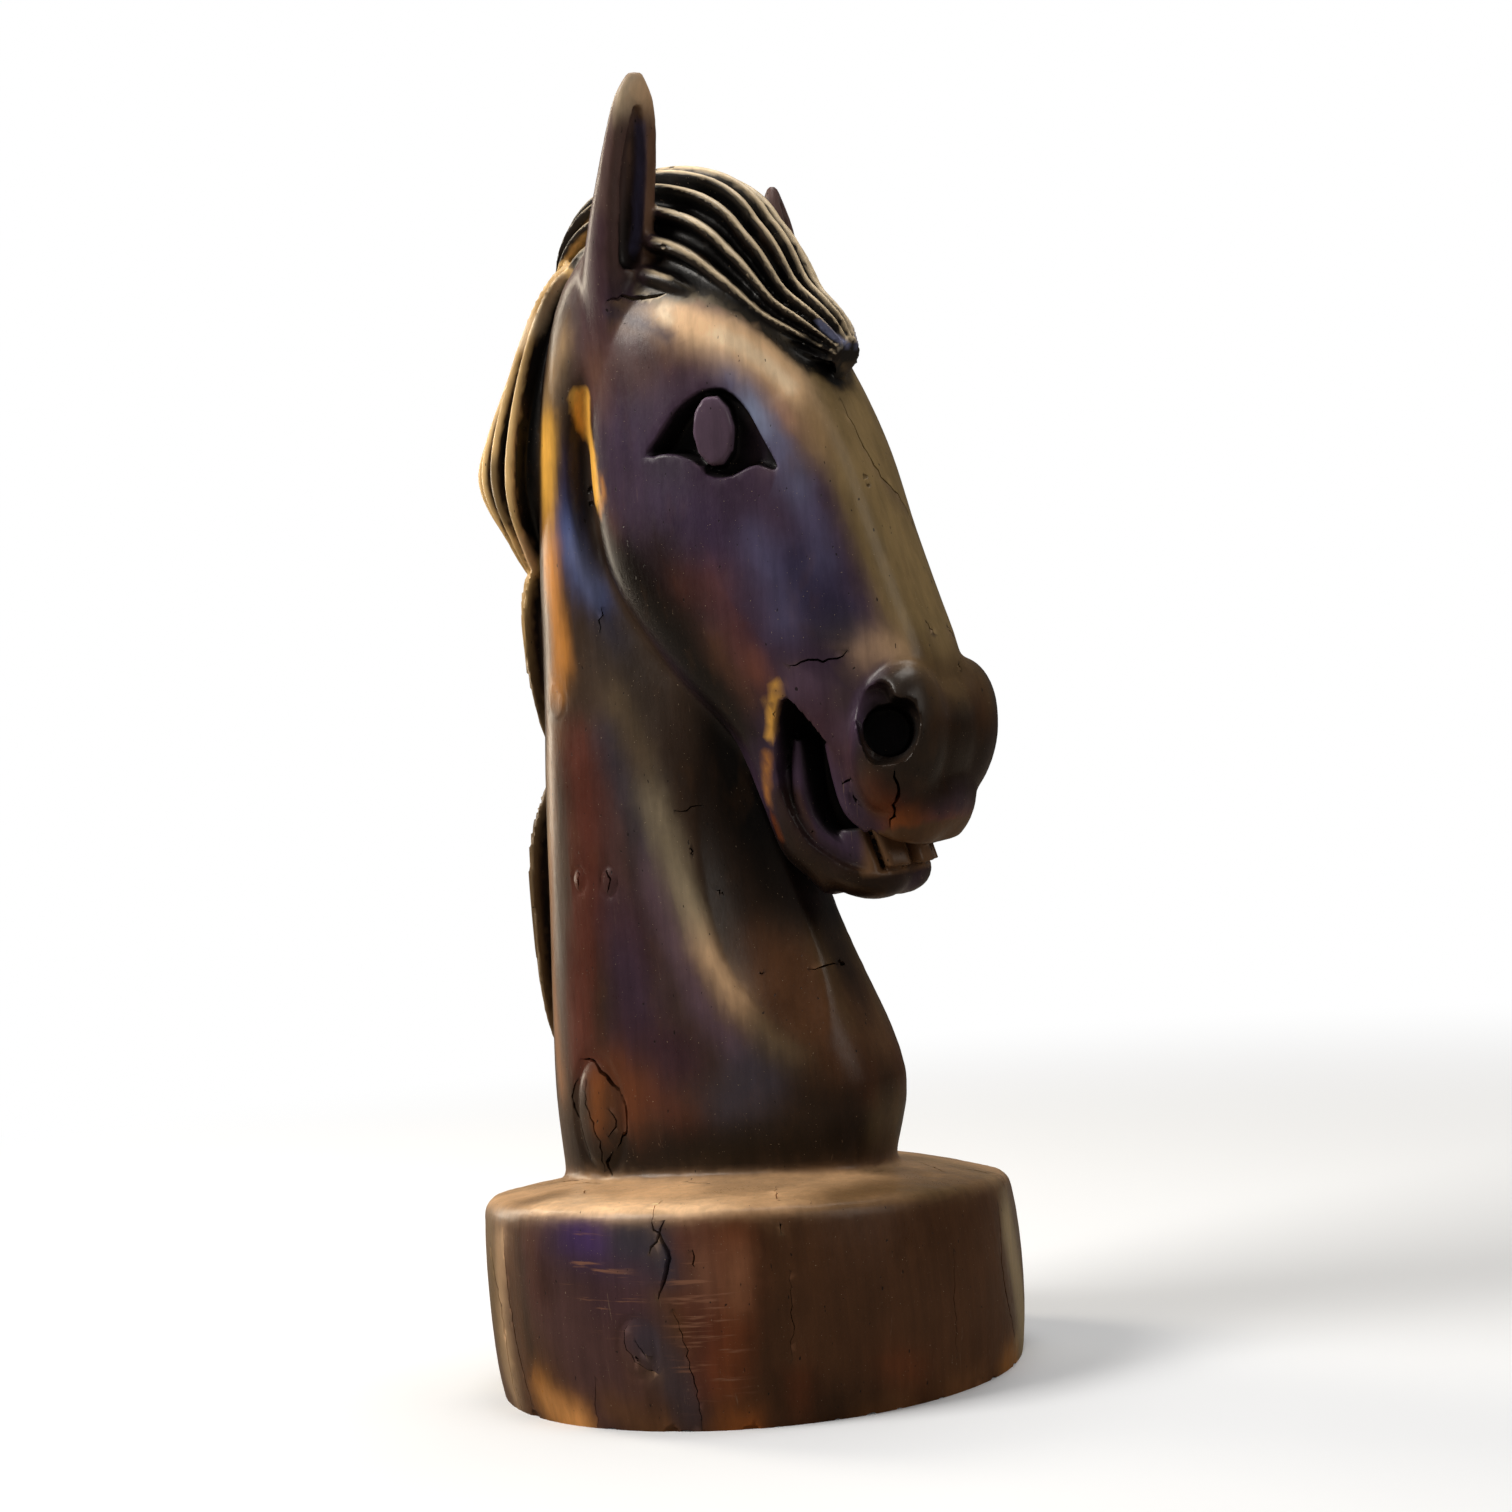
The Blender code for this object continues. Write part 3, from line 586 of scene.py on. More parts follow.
# Cracks: width, depth and points of the figure near the skin
CRACKS = [
    (0.9, 5, [(95, -7, 333), (98, -7, 320), (102, -5, 308), (105, -1, 297), (108, 9, 287),
     (110, 14, 276)]),
    (1.9, 9, [(122, -37, 173), (121, -34, 167), (116, -30, 160), (114, -29, 153), (111, -28, 148)]),
    (1.1, 4, [(76, -40, 220), (82, -38, 221), (88, -35, 221), (95, -31, 221), (99, -29, 224)]),
    (1.3, 3, [(93, -34, 168), (96, -33, 170), (99, -32, 169)]),
    (1.2, 3, [(97, -32, 163), (99, -31, 159)]), (0.9, 2.5, [(119, -6, 232), (121, -3, 226)]),
    (0.8, 2.5, [(120, 9, 229), (121, 11, 224)]), (1.2, 2.5, [(122, 9, 213), (122, 12, 208)]),
    (0.7, 2.5, [(8, -41, 161), (13, -38, 161), (19, -34, 162)]),
    (0.8, 3, [(-43, -48, 137), (-42, -48, 133), (-43, -48, 129)]),
    (1.1, 4, [(-26, -50, 137), (-24, -50, 133), (-26, -50, 127)]),
    (0.9, 3, [(14, -40, 144), (15, -39, 141)]), (1.0, 3, [(25, -36, 125), (28, -35, 123)]),
    (1.0, 3, [(35, -27, 86), (38, -27, 87)]), (0.9, 3, [(55, -17, 87), (60, -14, 87), (64, -6, 88)]),
    (2.6, 6, [(64, -5, 89), (66, -1, 88)]), (0.8, 3, [(-21, -41, 252), (-22, -42, 241)]),
    (2.6, 2.5, [(30, -112, -6), (34, -112, -14), (37, -112, -21), (35, -113, -29), (32, -115, -38)]),
    (1.6, 2, [(36, -112, -5), (33, -113, -12), (29, -114, -19)]),
    (0.5, 3, [(24, -96, -4), (28, -106, -4), (30, -112, -6)]),
    (1.0, 2, [(47, -108, -18), (48, -109, -25)]),
    (0.6, 4, [(38, -114, -42), (41, -114, -52), (43, -113, -64), (44, -111, -79), (43, -108, -97)]),
    (0.8, 5, [(-62, -102, -12), (-61, -102, -27), (-60, -104, -45), (-56, -106, -70), (-49, -104, -97)]),
    (0.8, 4, [(-76, -91, -22), (-70, -97, -46), (-68, -98, -70), (-68, -96, -92)]),
    (1.4, 6, [(-92, -75, -20), (-95, -74, -50), (-92, -72, -90)]),
    (1.4, 5, [(-112, -40, -14), (-101, -40, -12), (-83, -42, -8), (-66, -47, -4), (-56, -51, -2)]),
    (1.2, 5, [(-62, -60, -5), (-50, -55, -3), (-40, -56, -3)]),
    (1.0, 4, [(85, 36, -8), (95, 39, -11), (104, 38, -13), (111, 37, -18)]),
    (0.9, 4, [(75, 28, -6), (85, 22, -8), (94, 17, -9)]),
    (0.8, 3, [(92, 44, -10), (103, 43, -13), (110, 42, -18)]),
    (0.7, 2, [(-29, -81, -8), (-35, -73, -6)]), (1.0, 3, [(6, -54, -1), (13, -56, -3), (21, -57, -3)]),
    (0.7, 2.5, [(56, -58, -6), (66, -72, -9), (77, -87, -15)]),
    (1.0, 5, [(114, 20, -22), (119, 15, -49), (118, 20, -68), (113, 31, -88)]),
    (0.5, 2.5, [(19, -118, -46), (15, -119, -52), (16, -119, -60), (22, -118, -67), (29, -117, -70)]),
    (0.5, 2, [(20, -118, -55), (23, -118, -60), (27, -117, -62)]),
    (1.4, 2, [(19, -118, -62), (21, -118, -64)]),
    (0.3, 2, [(81, -88, -30), (82, -91, -48), (81, -92, -67)]),
    (0.35, 2, [(119, -22, -33), (120, -25, -54), (118, -25, -79)]),
    (0.4, 2.5, [(-4, -119, -72), (-6, -118, -83), (-8, -115, -96)]),
    (2.0, 6, [(-50, -50, 53), (-42, -51, 52), (-34, -52, 46), (-28, -53, 39), (-24, -53, 31),
     (-26, -53, 22), (-31, -53, 14)]),
    (1.4, 5, [(-53, -49, 44), (-58, -48, 35), (-55, -49, 26), (-51, -50, 17), (-50, -50, 8)]),
    (1.2, 4, [(-46, -51, 44), (-47, -51, 34), (-43, -51, 26), (-40, -52, 15), (-41, -52, 3)]),
    (1.0, 3, [(-33, -53, 31), (-30, -53, 24), (-35, -53, 19)]),
    (1.6, 5, [(-34, -53, 12), (-38, -52, 7), (-36, -53, 2)]),
    (1.0, 5, [(-70, 60, 4), (-66, 44, 20), (-62, 44, 60), (-60, 45, 96)]),
    (0.9, 5, [(30, 50, 10), (33, 50, 40), (31, 48, 66)]),
    (1.2, 5, [(-20, 118, -16), (-22, 119, -50), (-21, 116, -97)]),
    (0.9, 4, [(60, 101, -16), (58, 104, -40), (61, 102, -70)]),
    (1.0, 4, [(-30, 60, -4), (-40, 84, -8), (-48, 104, -14)]),
    (1.1, 5, [(-116, 20, -16), (-119, 22, -50), (-114, 20, -97)]),
    (2.2, 2.5, [(1, -46, 384), (6, -42, 385), (12, -39, 385), (18, -37, 385), (26, -35, 385)]),
    (1.5, 3, [(62, -26, 191), (67, -26, 189), (74, -26, 189)]),
    (1.6, 3, [(60, -27, 176), (67, -26, 175), (76, -26, 176)]),
    (1.5, 3, [(62, -27, 161), (68, -25, 162), (76, -25, 165)]),
    (1.2, 2.5, [(72, -25, 149), (76, -24, 153), (82, -24, 157)]),
]
CRACK_SIDES_ABOVE = 1.5  # how far a blade stands out of the skin
CRACK_WANDER = 0.8  # how far its points stray
CRACK_STEP = 3.0
CRACK_FEWEST = 5  # points along the shortest crack
CRACK_END = 0.35  # how many steps past its end points a crack's taper comes to nothing
CRACK_WIDTHS = (0.7, 1.15)  # how the width varies, as shares
CRACK_SEED = 11

# Chips knocked off edges: place near the skin and size
CHIPS = [
    ((105, -12, 297), 2.2), ((106, -12, 293), 1.6), ((-23, -34, 304), 3.0), ((-24, -34, 298), 2.2),
    ((-50, -104, -97), 5.0), ((-58, -96, -96), 4.0), ((30, -112, -97), 4.5), ((36, -110, -96), 3.5),
    ((62, -100, -97), 4.0), ((70, -93, -96), 3.0), ((88, -76, -96), 4.2), ((97, -64, -97), 5.0),
    ((104, -53, -96), 3.8), ((112, -33, -97), 3.4), ((117, 4, -96), 4.0), ((114, 30, -96), 4.4),
    ((0, -118, -97), 3.0), ((-30, 112, -97), 4.5), ((-90, 72, -96), 4.0), ((60, 100, -97), 4.5),
    ((-112, -20, -96), 4.0),
]
CHIP_LUMPS = (0.82, 1.15)  # how its points vary, as shares
CHIP_HALF = (1, 0.7, 0.5)  # half sizes along the skin, across and outward, as shares of the size
CHIP_RAISED = 0.22  # how far its middle lies above the skin, as a share
NICKS = 16  # small flakes off the strands of the forelock
NICK_SIZES = (1.2, 2.6)
NICK_STEPS = (8, LOCK_STEPS - 6)  # the part of the lock that they are on
NICK_ANGLE = 1.3  # how far to each side of the lock's middle, in radians


def figure_points(obj):
    """The object's vertices in figure units, as an array."""
    points = np.empty(len(obj.data.vertices) * 3)
    obj.data.vertices.foreach_get("co", points)
    points = points.reshape(-1, 3)
    points[:, 2] -= BASE_HEIGHT
    return points / UNIT


def move_points(obj, points):
    points = points * UNIT
    points[:, 2] += BASE_HEIGHT
    obj.data.vertices.foreach_set("co", points.ravel())
    obj.data.update()


def outward_of(obj):
    normals = np.empty(len(obj.data.vertices) * 3)
    obj.data.vertices.foreach_get("normal", normals)
    return normals.reshape(-1, 3)


def ramp(value, low, high):
    """0 below low, 1 above high, and a smooth step between them."""
    t = np.clip((value - low) / (high - low), 0, 1)
    return t * t * (3 - 2 * t)


def clouds(points, size, seed, stretch=(1, 1, 1)):
    """Soft noise from -1 to 1 at each point, with lumps of about this size."""
    scale = np.array(stretch) / size
    start = Vector(seed * share for share in CLOUD_START)
    return np.array([noise.noise(Vector(p * scale) + start) for p in points])


def distance_from(points, path):
    """How far each point lies from a path, or from a single place."""
    path = np.array(path, float)
    best = np.linalg.norm(points - path[0], axis=1)
    for a, b in zip(path, path[1:]):
        span = b - a
        t = np.clip((points - a) @ span / (span @ span), 0, 1)
        best = np.minimum(best, np.linalg.norm(points - a - t[:, None] * span, axis=1))
    return best


def knot_reach(points, knot):
    """1 on a knot's edge and 0 at its middle, measured across and along the grain."""
    centre, half_width, half_height, _, _ = knot
    offset = points - np.array(centre)
    if abs(centre[2]) < KNOT_LIES_FLAT:
        offset = offset[:, [0, 2, 1]]
    across = np.hypot(offset[:, 0], offset[:, 1]) / half_width
    return np.hypot(across, offset[:, 2] / half_height)


def add_relief(obj):
    points = figure_points(obj)
    normals = outward_of(obj)
    rise = UNDULATION * clouds(points, *UNDULATION_NOISE)
    on_top = ramp(normals[:, 2], *SCALLOPS_FACING) * (points[:, 2] < SCALLOPS_BELOW)
    rise += SCALLOPS * on_top * np.abs(clouds(points, *SCALLOP_NOISE))
    for knot in KNOTS:
        reach = knot_reach(points, knot)
        bulge, groove = knot[3:]
        ring = np.exp(-(((reach - 1) / KNOT_RING) ** 2))
        rise += bulge * (1 - ramp(reach, *KNOT_SWELL)) - groove * ring
    moved = points + normals * rise[:, None]
    radius = np.hypot(points[:, 0], points[:, 1])
    wall = ramp(-points[:, 2], *WALL_BELOW) * ramp(radius, *WALL_BEYOND)
    full = BASE_RADIUS / UNIT
    angle = np.arctan2(points[:, 1], points[:, 0])
    for direction, depth in HEWN_FLATS:
        turn = np.cos(angle - math.radians(direction))
        over = radius * turn - (full - depth)
        cut = HEWN_EDGE * np.logaddexp(0, over / HEWN_EDGE) * wall * (turn > HEWN_SPREAD)
        moved[:, 0] -= cut * math.cos(math.radians(direction))
        moved[:, 1] -= cut * math.sin(math.radians(direction))
    move_points(obj, moved)


def skin_tree(obj):
    spots = [vert.co for vert in obj.data.vertices]
    return BVHTree.FromPolygons(spots, [face.vertices for face in obj.data.polygons])


def crack_blade(width, depth, path, skin, rng):
    """A thin wedge along a path on the skin, which tapers to its ends."""
    length = sum((Vector(a) - Vector(b)).length for a, b in zip(path, path[1:]))
    count = max(CRACK_FEWEST, int(length / CRACK_STEP) + 2)
    points = []
    for k, p in enumerate(smooth_curve(path, count)):
        wander = CRACK_WANDER if 0 < k < count - 1 else 0
        points.append(Vector(p) + Vector([rng.uniform(-wander, wander) for _ in range(3)]))
    places = [skin.find_nearest(place(p))[:2] for p in points]
    rings = []
    for k, (spot, normal) in enumerate(places):
        ahead = (places[min(k + 1, count - 1)][0] - places[max(k - 1, 0)][0]).normalized()
        across = ahead.cross(normal).normalized()
        taper = math.sqrt(math.sin(math.pi * (k + CRACK_END) / (count - 1 + 2 * CRACK_END)))
        half = width / 2 * taper * rng.uniform(*CRACK_WIDTHS)
        top = spot + normal * (CRACK_SIDES_ABOVE * UNIT)
        half *= UNIT * (1 + CRACK_SIDES_ABOVE / depth)
        rings.append([top - across * half, top + across * half, spot - normal * (depth * taper * UNIT)])
    return loft("crack", rings)


def chip_cutter(centre, size, skin, rng):
    """A rough lump that takes a shallow flake off an edge."""
    spot, normal = skin.find_nearest(place(centre))[:2]
    bm = bmesh.new()
    bmesh.ops.create_icosphere(bm, subdivisions=2, radius=1)
    turn = normal.to_track_quat("Z", "Y").to_matrix()
    for vert in bm.verts:
        p = vert.co * rng.uniform(*CHIP_LUMPS)
        p = Vector([c * size * share for c, share in zip(p, CHIP_HALF)])
        vert.co = spot + turn @ (p * UNIT) + normal * (size * CHIP_RAISED * UNIT)
    return new_object("chip", bm)


def nicks(rng):
    """Places on the forelock, chosen by lot."""
    rows = smooth_curve(FORELOCK, LOCK_STEPS)
    found = []
    for _ in range(NICKS):
        k = rng.randrange(*NICK_STEPS)
        angle = rng.uniform(-NICK_ANGLE, NICK_ANGLE)
        x, y, z, half_width, thickness = rows[k]
        spot = (x, y + half_width * math.sin(angle), z + thickness * math.cos(angle))
        found.append((spot, rng.uniform(*NICK_SIZES)))
    return found


def cut_cracks(obj):
    skin = skin_tree(obj)
    rng = random.Random(CRACK_SEED)
    cutters = [crack_blade(*row, skin, rng) for row in CRACKS]
    cutters += [chip_cutter(*row, skin, rng) for row in CHIPS + nicks(rng)]
    carve(obj, join("cracks", cutters), crossing=True)


def thin_out(obj, most):
    obj.data.calc_loop_triangles()
    modifier = obj.modifiers.new("thin_out", "DECIMATE")
    modifier.ratio = min(1, most / len(obj.data.loop_triangles))
    modifier.use_collapse_triangulate = True
    bake_modifiers(obj)


def split_long_edges(obj):
    bm = bmesh.new()
    bm.from_mesh(obj.data)
    for _ in range(2):
        long_edges = [edge for edge in bm.edges if edge.calc_length() > LONGEST_EDGE]
        bmesh.ops.subdivide_edges(bm, edges=long_edges, cuts=1)
        bmesh.ops.triangulate(bm, faces=[face for face in bm.faces if len(face.verts) > 3])
    bm.to_mesh(obj.data)
    bm.free()


def saw_flat(obj):
    """Cuts the log off at the floor."""
    bm = bmesh.new()
    bm.from_mesh(obj.data)
    whole = [*bm.verts, *bm.edges, *bm.faces]
    floor = {"plane_co": (0, 0, 0), "plane_no": (0, 0, -1)}
    cut = bmesh.ops.bisect_plane(bm, geom=whole, clear_outer=True, **floor)
    rim = [item for item in cut["geom_cut"] if isinstance(item, bmesh.types.BMEdge)]
    bmesh.ops.contextual_create(bm, geom=rim)
    bmesh.ops.recalc_face_normals(bm, faces=bm.faces)
    bm.to_mesh(obj.data)
    bm.free()


def carve_horse():
    bodies = [make_neck(), make_head(), make_base(), *make_swellings(), make_ear(-1), make_ear(1)]
    horse = join("rough", bodies)
    fuse(horse, ROUGH_VOXEL, ROUGH_SMOOTH_STEPS)
    shallow = [cutter(side) for side in (-1, 1) for cutter in (ear_gouge, eye_socket, nostril)]
    carve(horse, join("cutters", [*shallow, mouth_gap(-1)]))
    carve(horse, join("cutters", [nostril_hole(-1), nostril_hole(1), mouth_gap(1)]))
    details = [eye_knob(-1), eye_knob(1), *make_teeth(), *make_hair()]
    horse = join("carved_horse", [horse, *details])
    fuse(horse, CARVED_VOXEL, CARVED_SMOOTH_STEPS)
    add_relief(horse)
    thin_out(horse, MOST_TRIANGLES)
    split_long_edges(horse)
    saw_flat(horse)
    cut_cracks(horse)
    return horse


# Camera of the photograph: its frame is PHOTO_WIDTH pixels square
PHOTO_WIDTH = 1512
PHOTO_FOCAL = 3585  # in pixels
CAMERA_AROUND = 36.0  # degrees from the right side of the horse towards its nose
CAMERA_DISTANCE = 1.6
CAMERA_HEIGHT = 0.3415
CAMERA_YAW, CAMERA_PITCH, CAMERA_ROLL = -0.755, -2.387, 5.3


def photo_view():
    """The place of the photograph's camera and its directions to the right, up and ahead."""
    around, pitch, roll = (math.radians(a) for a in (CAMERA_AROUND, CAMERA_PITCH, CAMERA_ROLL))
    heading = around + math.radians(CAMERA_YAW)
    run = math.cos(pitch)
    ahead = Vector((-math.sin(heading) * run, math.cos(heading) * run, math.sin(pitch)))
    level = Vector((math.cos(heading), math.sin(heading), 0))
    upright = level.cross(ahead)
    right = level * math.cos(roll) - upright * math.sin(roll)
    up = upright * math.cos(roll) + level * math.sin(roll)
    aside, back = CAMERA_DISTANCE * math.sin(around), CAMERA_DISTANCE * math.cos(around)
    return Vector((aside, -back, CAMERA_HEIGHT)), right, up, ahead


def on_wood(skin, pixels):
    """Where pixels of the photograph fall on the sculpture, in figure units, or its edge beside them."""
    spot, right, up, ahead = photo_view()
    found = []
    for across, down in pixels:
        ray = ahead * PHOTO_FOCAL + right * (across - PHOTO_WIDTH / 2) - up * (down - PHOTO_WIDTH / 2)
        ray.normalize()
        hit = skin.ray_cast(spot, ray)[0] or skin.find_nearest(spot + ray * CAMERA_DISTANCE)[0]
        found.append((hit.x / UNIT, hit.y / UNIT, (hit.z - BASE_HEIGHT) / UNIT))
    return found


# Tones of the stain as they look on the sculpture, as red, green and blue of 255
# Many tones paint light: pale, light tan, gold, glow and the crest tones are painted highlights, and the
# olives and tans partly painted light from above and ahead.
# The blues, and partly the violets, are painted reflections of a blue sky; the darkest blacks are mostly
# painted shade.
TONES = {
    "shade_black": (8, 6, 6), "black_brown": (20, 13, 9), "dark_bark": (38, 24, 14), "umber": (58, 44, 34),
    "brown": (80, 51, 31), "warm_brown": (88, 63, 42), "amber_brown": (122, 82, 50),
    "olive_brown": (94, 73, 45), "olive": (122, 102, 68), "light_olive": (174, 153, 113),
    "tan": (150, 122, 88), "light_tan": (224, 186, 145), "pale": (236, 214, 182),
    "rosy_tan": (200, 150, 116), "top_tan": (186, 149, 111), "top_brown": (118, 90, 60),
    "gold": (240, 180, 80), "glow": (255, 184, 112), "amber": (188, 124, 54), "orange": (172, 98, 42),
    "rust": (112, 58, 30), "maroon": (86, 44, 34), "plum_brown": (78, 53, 52), "plum": (64, 42, 50),
    "violet": (61, 46, 64), "deep_violet": (58, 44, 68), "bright_violet": (78, 54, 120),
    "lilac": (98, 77, 94), "ink": (46, 42, 68), "dusty_blue": (88, 86, 120),
    "steel_blue": (112, 118, 152), "sky_blue": (136, 148, 180), "deep_blue": (60, 76, 126),
    "slate": (56, 52, 62), "slate_brown": (62, 52, 46), "taupe": (140, 127, 104),
    "taupe_brown": (102, 85, 64), "ear_grey": (84, 64, 61), "ear_front": (112, 84, 66),
    "knob": (88, 71, 88), "muzzle": (46, 36, 29), "tooth": (94, 68, 46), "hair_black": (9, 7, 7),
    "forelock_crest": (214, 194, 162), "forelock_side": (62, 52, 44), "mane_crest": (226, 190, 130),
    "mane_side": (104, 68, 36), "mane_foot": (40, 30, 34),
}

